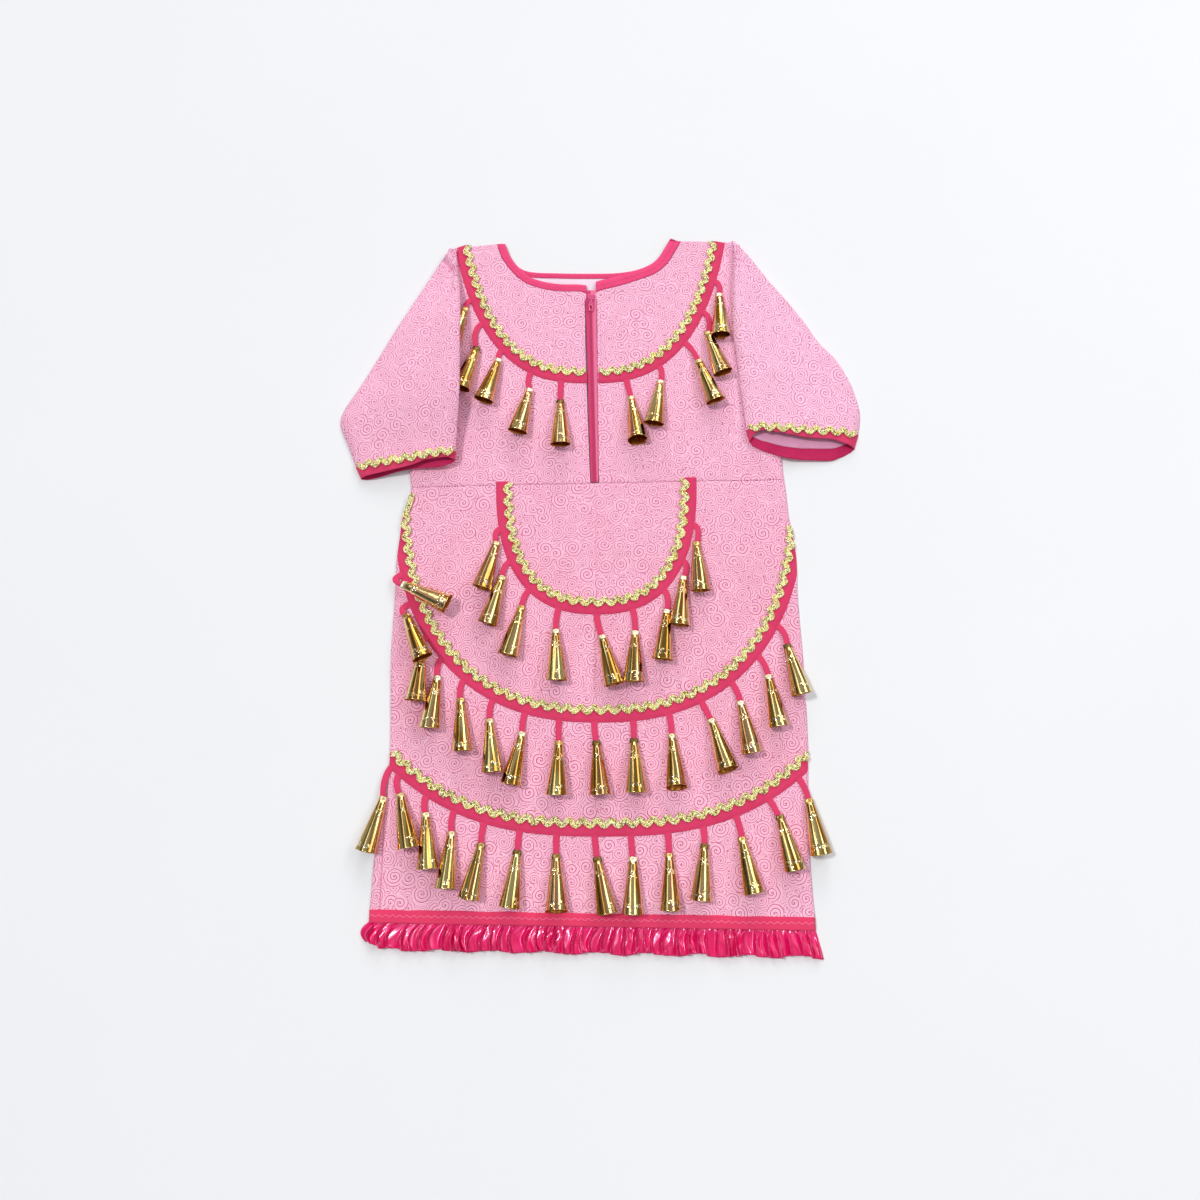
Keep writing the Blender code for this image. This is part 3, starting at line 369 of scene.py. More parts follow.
def zip_edges(y):
    share = (y - ZIP_FOOT_Y) / (ZIP_TOP_Y - ZIP_FOOT_Y)
    return between(*ZIP_LEFT_X, share), between(*ZIP_RIGHT_X, share)


class Arc:
    """A band's outer edge, read by the distance along it from left to right."""

    def __init__(self, centre_x, centre_y, half_width, depth, fullness, left_y, right_y):
        power = 2 / fullness
        start = math.pi - math.asin(((centre_y - left_y) / depth) ** (1 / power))
        end = math.asin(((centre_y - right_y) / depth) ** (1 / power))
        self.points = []
        for step in range(ARC_STEPS + 1):
            angle = between(start, end, step / ARC_STEPS)
            reach = math.copysign(abs(math.cos(angle)) ** power, math.cos(angle))
            self.points.append(Vector((centre_x + half_width * reach,
                                       centre_y - depth * math.sin(angle) ** power)))
        self.lengths = distances(self.points)
        self.length = self.lengths[-1]

    def at(self, distance):
        """Point and outward direction at a distance along the edge."""
        distance = min(self.length - 0.01, max(0.01, distance))
        step = bisect(self.lengths, distance) - 1
        a, b = self.points[step:step + 2]
        share = (distance - self.lengths[step]) / (b - a).length
        return a.lerp(b, share), rightward(b - a)

    def distance_at_x(self, x):
        return next(length for point, length in zip(self.points, self.lengths) if point.x > x)


def band_across(arc, distance):
    """Inner and outer edge of a band, short of the dress's side edge, and its direction."""
    edge, outward = arc.at(distance)
    left, right = side_edges(edge.y)
    overhang = max(0.0, left - edge.x, edge.x - right)
    width = BAND - overhang / max(0.3, abs(outward.x))
    inner = edge - outward * BAND
    return inner, inner + outward * width, outward, width


def lean(degrees):
    """Plan direction of a thing that hangs down the skirt, leaning to the right."""
    angle = math.radians(degrees)
    return Vector((math.sin(angle), -math.cos(angle)))


# ------------------------------------------------------------------ finishes

def srgb(*picked):
    """A colour picked on a 0 to 255 scale, as the linear one that shaders take."""
    values = [value / 255 for value in picked]
    return (*[v / 12.92 if v <= 0.04045 else ((v + 0.055) / 1.055) ** 2.4 for v in values], 1.0)


class Signal:
    """A value in a finish's node tree. Python's operators add Math nodes to it."""

    def __init__(self, finish, socket):
        self.finish, self.socket = finish, socket

    def math(self, operation, *values):
        sockets = dict(enumerate(values))
        return self.finish.node("Math", {"operation": operation}, sockets)("Value")

    __add__ = __radd__ = lambda self, other: self.math("ADD", self, other)
    __mul__ = __rmul__ = lambda self, other: self.math("MULTIPLY", self, other)
    __sub__ = lambda self, other: self.math("SUBTRACT", self, other)
    __rsub__ = lambda self, other: self.math("SUBTRACT", other, self)
    __truediv__ = lambda self, other: self.math("DIVIDE", self, other)
    __pow__ = lambda self, power: self.math("POWER", self, power)
    __abs__ = lambda self: self.math("ABSOLUTE", self)
    above = lambda self, level: self.math("GREATER_THAN", self, level)
    fraction = lambda self: self.math("FRACT", self)
    sine = lambda self: self.math("SINE", self)
    most = lambda self, other: self.math("MAXIMUM", self, other)

    def smooth(self, low, high):
        """0 below low, 1 above high, and smooth between."""
        return self.finish.node("MapRange", {"interpolation_type": "SMOOTHSTEP"},
                                {"Value": self, "From Min": low, "From Max": high})("Result")


class Finish:
    """A material built from nodes."""

    def __init__(self, name, **uniform):
        self.material = bpy.data.materials.new(name)
        self.material.use_nodes = True
        self.tree = self.material.node_tree
        self.shader = self.tree.nodes["Principled BSDF"]
        for socket, value in uniform.items():
            self.shader.inputs[socket.replace("_", " ")].default_value = value

    def node(self, kind, settings, sockets):
        """Adds a node with its settings, then its sockets' values and links."""
        made = self.tree.nodes.new("ShaderNode" + kind)
        for setting, value in settings.items():
            setattr(made, setting, value)
        for socket, value in sockets.items():
            if isinstance(value, Signal):
                self.tree.links.new(value.socket, made.inputs[socket])
            else:
                made.inputs[socket].default_value = value
        return lambda output: Signal(self, made.outputs[output])

    def place(self, source, scale=(1, 1, 1)):
        """Coordinates in metres: the cloth's own cut, or the object's."""
        found = self.node("TexCoord", {}, {})(source)
        return self.node("Mapping", {}, {"Vector": found, "Scale": scale})("Vector")

    def parts(self, vector):
        return [self.node("SeparateXYZ", {}, {0: vector})(axis) for axis in "XYZ"]

    def cloud(self, place, size, detail=2.0):
        """Soft noise from 0 to 1 with blobs of a size in metres."""
        return self.node("TexNoise", {}, {"Vector": place, "Scale": 1 / size,
                                          "Detail": detail})("Fac")

    def chances(self, colour):
        """Three even chances for each cell, by the names Red, Green and Blue."""
        return self.node("SeparateColor", {}, {0: colour})

    def mix(self, factor, *colours):
        """Between two colours, each a signal or one picked on the 0 to 255 scale."""
        a, b = (c if isinstance(c, Signal) else srgb(*c) for c in colours)
        return self.node("Mix", {"data_type": "RGBA"}, {0: factor, 6: a, 7: b})(2)

    def feed(self, socket, signal):
        self.tree.links.new(signal.socket, self.shader.inputs[socket])

    def relief(self, height, distance, strength=1.0):
        """Bump from a height signal of 0 to 1 that stands for a distance in metres."""
        bump = self.node("Bump", {}, {"Height": height, "Distance": distance,
                                      "Strength": strength})("Normal")
        self.feed("Normal", bump)

    def weave(self, place, thread):
        """Over and under of a plain weave, from 0 to 1."""
        x, y, _ = self.parts(place)
        return (x * (math.pi / thread)).sine() * (y * (math.pi / thread)).sine() * 0.5 + 0.5


def swirls(finish, place, size, spacing, thickness):
    """Dark line, pale line and centre dot of spirals, one to a cell, and where they show."""
    cells = {"Vector": place, "Scale": 1 / size, "Randomness": 0.82}
    cell = finish.node("TexVoronoi", {"voronoi_dimensions": "2D"}, cells)
    edge = finish.node("TexVoronoi", {"voronoi_dimensions": "2D", "feature": "DISTANCE_TO_EDGE"},
                       cells)("Distance")
    offset = finish.node("VectorMath", {"operation": "SUBTRACT"}, {0: place, 1: cell("Position")})
    x, y, _ = finish.parts(offset("Vector"))
    chance = finish.chances(cell("Color"))
    radius = (x * x + y * y) ** 0.5
    hand = chance("Red").above(0.5) * 2 - 1
    pitch = chance("Blue") * (0.5 * spacing) + 0.78 * spacing
    angle = y.math("ARCTAN2", y, x) / TURN
    phase = (radius / pitch + hand * angle + chance("Green")).fraction()
    across = abs(phase - 0.5)
    dark = 1 - across.smooth(0.5 * thickness, thickness)
    pale = abs(across - 0.3).smooth(0.5 * thickness, thickness)
    pale = 1 - pale
    reach = chance("Green") * (0.22 * size) + 0.44 * size
    shown = edge.smooth(0.015, 0.06) * (1 - (radius - reach).smooth(-0.0004, 0.0004))
    dot = 1 - radius.smooth(0.0004, 0.0009)
    return dark, pale, dot, shown


GROUND = (247, 149, 182)
WARM_GROUND = (238, 121, 151)
LINE = (186, 52, 106)
PALE_LINE = (255, 210, 232)


def printed_cotton():
    """Light pink cotton printed all over with tonal swirls."""
    finish = Finish("swirl_cotton", Roughness=0.82, Sheen_Weight=0.08, Sheen_Roughness=0.5,
                    Specular_IOR_Level=0.25)
    place = finish.place("UV")
    bend = finish.node("TexNoise", {}, {"Vector": place, "Scale": 120.0, "Detail": 1.0})("Color")
    bent = finish.node("VectorMath", {"operation": "MULTIPLY_ADD"},
                       {0: bend, 1: (0.0022, 0.0022, 0.0), 2: place})("Vector")
    dark, pale, dot, shown = swirls(finish, bent, size=0.0155, spacing=0.0026, thickness=0.17)
    moved = finish.node("VectorMath", {"operation": "ADD"},
                        {0: bent, 1: (0.373, 0.219, 0.0)})("Vector")
    small_dark, small_pale, small_dot, _ = swirls(finish, moved, size=0.0088, spacing=0.0023,
                                                  thickness=0.18)
    rest = 1 - shown
    dark = dark * shown + small_dark * rest * 0.85
    pale = pale * shown + small_pale * rest
    dots = dot.most(small_dot * rest)
    mottle = finish.cloud(place, 0.045, 3.0).smooth(0.38, 0.68)
    ground = finish.mix(mottle, GROUND, WARM_GROUND)
    blotch = finish.cloud(place, 0.026, 2.0).smooth(0.48, 0.7)
    ground = finish.mix(blotch * 0.35, ground, (250, 132, 166))
    # Painted light: paler towards the neck, towards the hem and over the right sleeve, where more
    # light falls
    x, y, _ = finish.parts(place)
    ground = finish.mix(y.smooth(0.0, 0.28) * 0.75, ground, (255, 170, 210))
    ground = finish.mix((1 - y.smooth(-0.31, -0.17)) * 0.5, ground, (255, 164, 194))
    right_sleeve_painted_light = x.smooth(0.139, 0.142) * y.smooth(0.155, 0.165)
    ground = finish.mix(right_sleeve_painted_light * 0.6, ground, (255, 190, 230))
    ink = finish.cloud(place, 0.006, 2.0).smooth(0.2, 0.7) * 0.4 + 0.5
    colour = finish.mix(pale * 0.95, ground, PALE_LINE)
    colour = finish.mix(dark * ink, colour, LINE)
    colour = finish.mix(dots * 0.9, colour, (176, 52, 108))
    # Painted shade: a dark line down the side seam, where its groove would be in shade
    seam = 1 - abs(x - SIDE_SEAM_X * MM).smooth(0.0003, 0.0011)
    seam = seam * (1 - y.smooth(-0.185, -0.172))
    colour = finish.mix(seam * 0.55, colour, (196, 84, 128))
    fibre = finish.cloud(place, 0.0007, 2.0)
    colour = finish.mix((fibre - 0.5) * 0.3 + 0.04, colour, (255, 216, 234))
    finish.feed("Base Color", colour)
    finish.relief(finish.weave(place, 0.0004) * 0.6 + fibre * 0.4, 0.00012, 0.5)
    return finish.material


def plain_weave(name, colour, deep, thread, source="UV"):
    """Woven cloth of one dye, a little uneven."""
    finish = Finish(name, Roughness=0.78, Sheen_Weight=0.12, Specular_IOR_Level=0.3)
    place = finish.place(source)
    mottle = finish.cloud(place, 0.02, 3.0).smooth(0.3, 0.75)
    streak = finish.cloud(finish.place(source, (0.25, 1, 1)), 0.0012, 2.0)
    finish.feed("Base Color", finish.mix(mottle * 0.5 + (streak - 0.5) * 0.5, colour, deep))
    finish.relief(finish.weave(place, thread) * 0.7 + streak * 0.3, 0.0001, 0.6)
    return finish.material


def glossy_satin():
    """Hot pink satin, with fine floats along its length and bright where it turns."""
    finish = Finish("satin", Specular_IOR_Level=1.0, Specular_Tint=srgb(255, 176, 224),
                    Coat_Weight=0.25, Coat_Roughness=0.12, Coat_IOR=1.7, Sheen_Weight=0.5,
                    Sheen_Roughness=0.3, Sheen_Tint=srgb(255, 120, 180))
    floats = finish.cloud(finish.place("UV", (1, 0.08, 1)), 0.0006, 2.0)
    mottle = finish.cloud(finish.place("UV"), 0.014, 2.0).smooth(0.3, 0.7)
    finish.feed("Base Color", finish.mix(mottle * 0.6, (238, 12, 104), (206, 0, 72)))
    finish.feed("Roughness", floats * 0.08 + 0.24)
    finish.relief(floats, 0.00003, 0.4)
    return finish.material


def metallic_braid():
    """Gold thread: strands of foil, with glints and dark shade painted between them in random
    cells.
    """
    finish = Finish("gold_braid", Metallic=0.5, Specular_IOR_Level=0.8)
    place = finish.place("Object")
    painted_glint_cells = finish.node("TexVoronoi", {}, {"Vector": place, "Scale": 1 / 0.0011})("Color")
    chance = finish.chances(painted_glint_cells)
    # Painted highlights: paler gold in random cells
    colour = finish.mix(chance("Red").smooth(0.1, 0.9), (246, 228, 128), (255, 254, 212))
    # Painted shade: dark olive specks between the strands
    colour = finish.mix(chance("Green").above(0.74) * 0.85, colour, (122, 98, 30))
    finish.feed("Base Color", colour)
    finish.feed("Roughness", chance("Blue") * 0.3 + 0.22)
    finish.relief(finish.cloud(place, 0.0006, 1.0), 0.0003, 0.9)
    return finish.material


def rolled_metal():
    """Thin gilt sheet, rolled into a cone: polished, faintly waved, with two embossed rings, and
    with reflections, highlights and shade painted into its colour.
    """
    finish = Finish("cone_gold", Metallic=1.0)
    place = finish.place("Object")
    sheet = finish.place("UV")
    around, along, _ = finish.parts(sheet)
    number = around.math("FLOOR", around / (CONE_SHEET * MM))
    own = finish.node("TexWhiteNoise", {"noise_dimensions": "1D"}, {"W": number})("Color")
    own = finish.chances(own)
    wave = finish.cloud(place, 0.007, 1.0)
    # Painted reflections: light and dark stripes along each cone
    streak = finish.cloud(finish.place("UV", (1, 0.06, 1)), 0.004, 1.0)
    painted_reflections = finish.mix(streak.smooth(0.38, 0.6), (248, 222, 150), (188, 138, 62))
    # Painted reflection of the pink cloth: salmon streaks along the cone
    pink_reflection = finish.cloud(finish.place("UV", (1, 0.05, 1)), 0.009, 1.0).smooth(0.52, 0.64)
    painted_reflections = finish.mix(pink_reflection * 0.45, painted_reflections, (244, 178, 144))
    edge = wave * 0.0012
    tip = 1 - (along + edge).smooth(0.0048, 0.0056)
    # Painted tip: a pale highlight or a dark reflection, chosen by chance for each cone
    bright = own("Red").above(0.35)
    tip_highlight_or_shade = finish.mix(bright, (92, 74, 30), (255, 250, 214))
    scratch = finish.cloud(finish.place("UV", (60, 4, 1)), 1.0, 3.0)
    finish.feed("Roughness", scratch * 0.05 + tip * 0.22 + 0.11)
    motif = finish.node("TexVoronoi", {"feature": "SMOOTH_F1"},
                        {"Vector": sheet, "Scale": 1 / 0.0034, "Smoothness": 0.3})("Distance")
    ring = along.smooth(0.0125, 0.0135) * (1 - along.smooth(0.0195, 0.0205))
    rim = along.smooth(0.0425, 0.0432) * (1 - along.smooth(0.0482, 0.0490))
    embossed_rings_and_glint = ring.most(rim) * (1 - motif.smooth(0.2, 0.55))
    # The embossed rings are raised by the bump below, and their colour is paled as a painted
    # highlight
    painted_reflections = finish.mix(embossed_rings_and_glint * 0.6, painted_reflections, (255, 246, 206))
    finish.feed("Base Color", finish.mix(tip * own("Green").smooth(0.1, 0.6) * 0.85, painted_reflections, tip_highlight_or_shade))
    finish.relief(wave * 0.2 + embossed_rings_and_glint * 0.6, 0.0010, 0.5)
    return finish.material


def cone_lining():
    """Amber inside of the cones, duller than the outside."""
    finish = Finish("cone_inside", Metallic=1.0)
    stain = finish.cloud(finish.place("Object"), 0.003, 2.0)
    finish.feed("Base Color", finish.mix(stain.smooth(0.3, 0.7), (214, 150, 70), (160, 96, 34)))
    finish.feed("Roughness", stain * 0.2 + 0.28)
    return finish.material


def stained(name, stain, colours, grain=None, **uniform):
    """An even finish with faint stains and, where it is given, a fine grain."""
    finish = Finish(name, **uniform)
    place = finish.place("Object")
    stain = stain(lambda size, detail: finish.cloud(place, size, detail))
    finish.feed("Base Color", finish.mix(stain, *colours))
    if grain:
        size, distance, strength = grain
        finish.relief(finish.cloud(place, size, 1.0), distance, strength)
    return finish.material


def zip_cloth():
    """Ribbed zip tape, paler on its right side."""
    finish = Finish("zip_tape", Roughness=0.7, Sheen_Weight=0.12, Specular_IOR_Level=0.3)
    place = finish.place("UV")
    across = finish.parts(place)[1]
    streak = finish.cloud(finish.place("UV", (0.25, 1, 1)), 0.0012, 2.0)
    left = finish.mix(streak, (220, 70, 120), (200, 50, 102))
    right = finish.mix(streak, (244, 124, 164), (232, 100, 146))
    finish.feed("Base Color", finish.mix(across.smooth(0.0056, 0.0066), left, right))
    finish.relief(finish.weave(place, 0.0006), 0.0001, 0.6)
    return finish.material


FINISHES = dict(
    print=printed_cotton(),
    # The wrong side of the cotton, with painted shade for the cuff openings where it shows; the
    # pale facing is the same wrong side unshaded, for the neck
    inside=plain_weave("cotton_inside_shaded", (226, 160, 192), (206, 134, 172), 0.0004),
    facing=plain_weave("pale_facing", (246, 224, 238), (236, 206, 226), 0.0004),
    tape=plain_weave("bias_tape", (222, 58, 104), (204, 44, 90), 0.00045),
    neck=plain_weave("neck_tape", (242, 76, 130), (228, 60, 114), 0.00045),
    # The tape's other face, darker than the tape: painted shade for where it shows inside the cuffs
    tape_inside_shaded=plain_weave("tape_inside_shaded", (200, 30, 92), (176, 16, 74), 0.00045),
    hem=plain_weave("hem_tape", (235, 60, 105), (222, 48, 93), 0.00045),
    thread=plain_weave("sewing_thread", (255, 140, 180), (246, 112, 160), 0.0003, "Object"),
    zip=zip_cloth(),
    satin=glossy_satin(),
    braid=metallic_braid(),
    cone=rolled_metal(),
    lining=cone_lining(),
    enamel=stained("zip_metal", lambda cloud: cloud(0.0012, 3.0).smooth(0.58, 0.7) * 0.5,
                   ((226, 84, 142), (250, 196, 216)), (0.0008, 0.0001, 0.3), Roughness=0.25,
                   Coat_Weight=0.5, Metallic=0.2),
    coil=stained("zip_coil", lambda cloud: cloud(0.004, 2.0), ((232, 88, 144), (214, 66, 122)),
                 (0.0005, 0.00006, 0.4), Roughness=0.38, Specular_IOR_Level=0.5),
    floor=stained("pale_floor", lambda cloud: cloud(0.3, 2.0), ((237, 238, 240), (240, 241, 243)),
                  Roughness=0.7, Specular_IOR_Level=0.2),
    card=plain_weave("card", (92, 90, 88), (84, 82, 80), 0.001),
)


# ------------------------------------------------------------------ making pieces

def cut_layer(bm):
    return bm.loops.layers.uv.get("cut") or bm.loops.layers.uv.new("cut")


def grid(bm, across, along, place, cut):
    """A sheet of quads. From two shares, place gives a point and cut its spot on the flat."""
    layer = cut_layer(bm)
    verts = bmesh.ops.create_grid(bm, x_segments=across, y_segments=along, size=0.5)["verts"]
    shares = {vert: (vert.co.x + 0.5, vert.co.y + 0.5) for vert in verts}
    faces = {face for vert in verts for face in vert.link_faces}
    for face in faces:
        for loop in face.loops:
            loop[layer].uv = [value * MM for value in cut(*shares[loop.vert])]
    for vert, (u, v) in shares.items():
        vert.co = place(u, v)
    return verts, faces


def swept(bm, stops, ring):
    """A closed section swept over stops, each with its centre, side and up directions."""
    spans, sides = len(stops) - 1, len(ring)
    travelled = distances([centre for centre, _, _ in stops])

    def place(u, v):
        centre, side, up = stops[round(u * spans)]
        wide, high = ring[round(v * sides) % sides]
        return centre + side * wide + up * high

    def cut(u, v):
        return travelled[round(u * spans)], v * 10

    verts, faces = grid(bm, spans, sides, place, cut)
    bmesh.ops.remove_doubles(bm, verts=verts, dist=1e-5)
    faces = [face for face in faces if face.is_valid]
    rims = [edge for edge in {edge for face in faces for edge in face.edges} if edge.is_boundary]
    ends = bmesh.ops.holes_fill(bm, edges=rims)["faces"]
    bmesh.ops.recalc_face_normals(bm, faces=faces + ends)


def level_stops(points):
    """Stops along points, each with a side direction level with the ground."""
    stops = []
    for point, run in zip(points, runs(points)):
        side = UP.cross(run).normalized()
        stops.append((point, side, run.cross(side).normalized()))
    return stops


def round_ring(radius, sides, squash=1.0):
    angles = [TURN * step / sides for step in range(sides)]
    return [(radius * math.cos(angle), radius * squash * math.sin(angle)) for angle in angles]


def ribbon(bm, rows, profile, start=0.0):
    """A strip between edge points. Rows hold (near, far), the profile (share, lift)."""
    spans, sides = len(rows) - 1, len(profile) - 1
    travelled = distances([(near + far) / 2 for near, far in rows], start)

    def place(u, v):
        near, far = rows[round(u * spans)]
        share, lift = profile[round(v * sides)]
        return near.lerp(far, share) + UP * lift

    def cut(u, v):
        near, far = rows[round(u * spans)]
        return travelled[round(u * spans)], profile[round(v * sides)][0] * (far - near).length

    return grid(bm, spans, sides, place, cut)[1]


def face_up(bm, faces):
    """Turns a sheet over if it faces the ground."""
    bm.normal_update()
    if sum(face.normal.z * face.calc_area() for face in faces) < 0:
        bmesh.ops.reverse_faces(bm, faces=list(faces))


def face_down(bm, faces):
    face_up(bm, faces)
    bmesh.ops.reverse_faces(bm, faces=list(faces))


def face_out(bm, faces, start, axis):
    """Turns a tube's faces away from its axis."""
    bm.normal_update()
    facing = 0.0
    for face in faces:
        offset = face.calc_center_median() - start
        facing += face.normal.dot(offset - axis * offset.dot(axis)) * face.calc_area()
    if facing < 0:
        bmesh.ops.reverse_faces(bm, faces=list(faces))


def cut_size(bm):
    """Width, length and area of the cut that a sheet was made from, in metres."""
    layer = cut_layer(bm)
    spots = [loop[layer].uv for face in bm.faces for loop in face.loops]
    sides = [max(spot[axis] for spot in spots) - min(spot[axis] for spot in spots)
             for axis in (0, 1)]
    area = 0.0
    for face in bm.faces:
        loops = [loop[layer].uv for loop in face.loops]
        area += abs(sum(a.x * b.y - b.x * a.y for a, b in zip(loops, loops[1:] + loops[:1]))) / 2
    return [max(0.01, side) for side in sides], area


def put_in_scene(name, data):
    made = bpy.data.objects.new(name, data)
    bpy.context.scene.collection.objects.link(made)
    return made


def mesh_from(name, bm, finishes):
    mesh = bpy.data.meshes.new(name)
    bm.to_mesh(mesh)
    bm.free()
    for finish in finishes:
        mesh.materials.append(FINISHES[finish])
    return mesh


def make_piece(name, bm, finishes, nodes=(), body="dress", wall=0.0, lined=0):
    """Puts a mesh in its place in the frame, with its wall, finish and body."""
    bmesh.ops.translate(bm, vec=SHIFT, verts=bm.verts)
    bmesh.ops.scale(bm, vec=(MM, MM, MM), verts=bm.verts)
    mesh = mesh_from(name, bm, finishes)
    mesh.shade_smooth()
    piece = put_in_scene(name, mesh)
    if wall:
        thicken = piece.modifiers.new("wall", "SOLIDIFY")
        thicken.thickness = wall * MM
        thicken.offset = -1.0
        thicken.material_offset = lined
    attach(piece, body)
    if nodes:
        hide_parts(*nodes)
    return piece


def make_sheet(name, bm, finishes, node, rests_on, wall=CLOTH, trims=()):
    """A piece that is cloth, with its wall, its two finishes and, in its UVs, the cut that it was
    sewn from.
    """
    (width, length), area = cut_size(bm)
    piece = make_piece(name, bm, finishes, [node], wall=wall,
                       lined=int(finishes[0] != finishes[1]))
    area = min(area, width * length)
    max(area, 0.301 * width * length)
    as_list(rests_on)
    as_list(trims)


# ------------------------------------------------------------------ front and back cloth

BACK_CELLS = (60, 40)


def cotton_panel(name, node, plan, cells, height, inner, rests_on):
    """A panel of the print. From two shares, plan gives a spot, and height its z there."""
    def place(u, v):
        x, y = plan(u, v)
        return Vector((x, y, height(x, y)))

    bm = bmesh.new()
    faces = grid(bm, *cells, place, plan)[1]
    (face_up if rests_on else face_down)(bm, faces)
    make_sheet(name, bm, ("print", inner), node, rests_on)


def bodice_front(word, table):
    def plan(u, v):
        side_x, side_y, centre_x, centre_y = row_at(table, crowd(v, 0.4) * (len(table) - 1))
        share = crowd(u, 0.8)
        return between(side_x, centre_x, share), between(side_y, centre_y, share)

    cotton_panel(f"front_bodice_{word}", f"bodice_front_{word}", plan, (72, 120), cloth_z,
                 "inside", ["back_bodice"])


def skirt_front(word, side, centre_x):
    def plan(u, v):
        level = between(waist_y(0), hem_y(0), crowd(v, 0.4))
        x = between(side_edges(level)[side], centre_x, crowd(u, 0.8))
        return x, between(waist_y(x) + 0.6, hem_y(x) - 1, crowd(v, 0.4))

    def tucked(gap):
        """How deep the cloth is tucked under its neighbour at a gap past the seam."""
        return 0.5 * ease(gap, -0.5, 0.6)

    def height(x, y):
        tuck = tucked(y - waist_y(x))
        if word == "left":
            tuck = max(tuck, tucked(x - CENTRE_SEAM_X))
        return cloth_z(x, y) - tuck

    cotton_panel(f"front_skirt_{word}", f"skirt_front_{word}", plan, (76, 150), height,
                 "inside", ["back_skirt"])


def back_neck_edges():
    """Upper and lower edge points of the binding along the back neckline."""
    points = [Vector(row_at(BACK_NECK, step / 4)) for step in range(4 * len(BACK_NECK) - 3)]
    return [(point, point + rightward(run) * BINDINGS["back"])
            for point, run in zip(points, runs(points))]


def back_z(x, y):
    """Outer face of the back, on the ground but for its side edges."""
    return 0.02 + 0.55 * math.exp(-side_inset(x, y) / 2)


def bodice_back():
    neck = [BODICE_LEFT[-1][:2]] + [tuple(lower) for _, lower in back_neck_edges()]
    neck.append(BODICE_RIGHT[-1][:2])
    turn_y, turn = 330, 0.8

    def plan(u, v):
        level = between(waist_y(0), turn_y, min(1, v / turn))
        x = between(*side_edges(level), crowd(u, 0.6))
        y = between(waist_y(x), turn_y, min(1, v / turn))
        if v <= turn:
            return x, y
        top_x, top_y = row_at(neck, crowd(u, 0.6) * (len(neck) - 1))
        share = (v - turn) / (1 - turn)
        return between(x, top_x, share), between(y, top_y, share)

    cotton_panel("back_bodice", "bodice_back", plan, BACK_CELLS, back_z, "facing", [])


def skirt_back():
    def plan(u, v):
        x = between(*side_edges(between(waist_y(0), hem_y(0), v)), crowd(u, 0.6))
        return x, between(waist_y(x), hem_y(x), v)

    cotton_panel("back_skirt", "skirt_back", plan, BACK_CELLS, back_z, "inside", [])


# ------------------------------------------------------------------ bands and braid

TAPE_CROWN = ((0, -0.4), (0.03, 0.2), (0.1, 0.6), (0.3, 0.72), (0.7, 0.74), (0.85, 0.66),
              (0.875, 0.42), (0.9, 0.64), (0.97, 0.3), (1, -0.4))
BRAID_HALF = 2.3
STRAND = 0.78
STRANDS = 5
STRAND_PITCH = 9.5
BRAID_SWING = 2.45
RICRAC_END = 2


def on_cloth(point, lift):
    return Vector((point.x, point.y, cloth_z(point.x, point.y) + lift))


def band(name, arc, start, end, trims):
    """Bias tape with a stitched edge, cut off along the dress's side edges."""
    rows = []
    for distance in stations(start, end, 2.2):
        inner, outer, _, width = band_across(arc, distance)
        if width > 1.5:
            rows.append((on_cloth(inner, CLEAR), on_cloth(outer, CLEAR)))
    bm = bmesh.new()
    face_up(bm, ribbon(bm, rows, TAPE_CROWN))
    make_sheet(f"tape_{name}", bm, ("tape", "tape"), f"band_{name}",
               BODICE_FRONTS if "yoke" in name else SKIRT_FRONTS, wall=TAPE_WALL, trims=trims)


def braid_over(name, centres, node):
    """Flat braid of round strands along a row of centre points."""
    strands = [[] for _ in range(STRANDS)]
    for centre, run, travelled in zip(centres, runs(centres), distances(centres)):
        side = UP.cross(run).normalized()
        for number, strand in enumerate(strands):
            angle = TURN * (travelled / STRAND_PITCH + number / STRANDS)
            strand.append(centre + side * (BRAID_HALF * math.sin(angle))
                          + UP * (0.42 * math.sin(2 * angle) + 0.1 * math.cos(angle)))
    bm = bmesh.new()
    for strand in strands:
        swept(bm, level_stops(strand), round_ring(STRAND, 5, 0.85))
    return make_piece(name, bm, ["braid"], [node])


def ricrac(name, arc, start, end):
    """Wavy gold braid along the band's upper edge."""
    length = end - start - 2 * RICRAC_END
    halves = round(length / (WAVE / 2))
    centres = []
    for distance in stations(start + RICRAC_END, end - RICRAC_END, 0.62):
        edge, outward = arc.at(distance)
        along = distance - start - RICRAC_END
        swing = -BRAID_SWING * math.cos(math.pi * halves * along / length)
        point = edge + outward * (swing - BAND)
        left, right = side_edges(point.y)
        if name == "bottom" and not left + 1.5 < point.x < right - 1.5:
            continue
        point.x = min(right - 2.2, max(left + 2.2, point.x))
        centres.append(on_cloth(point, 1.25 + STRAND + 0.3 * hump(swing + 3, 2.5)))
    return braid_over(f"braid_{name}", centres, f"ricrac_{name}")


# ------------------------------------------------------------------ loops and cones

LOOP_RING = ((-3.3, 0), (-3.15, 0.42), (-2.5, 0.62), (0, 0.4), (2.5, 0.62), (3.15, 0.42),
             (3.3, 0), (2.5, -0.25), (0, -0.3), (-2.5, -0.25))
CONE_WALL = 0.28
CONE_LAP = 1.14
LOOP_STEPS = 14
chance = random.Random(41)
cone_numbers = itertools.count()


def support(point):
    return max(cloth_z(point.x, point.y), FRONT_FLOOR + COTTON)


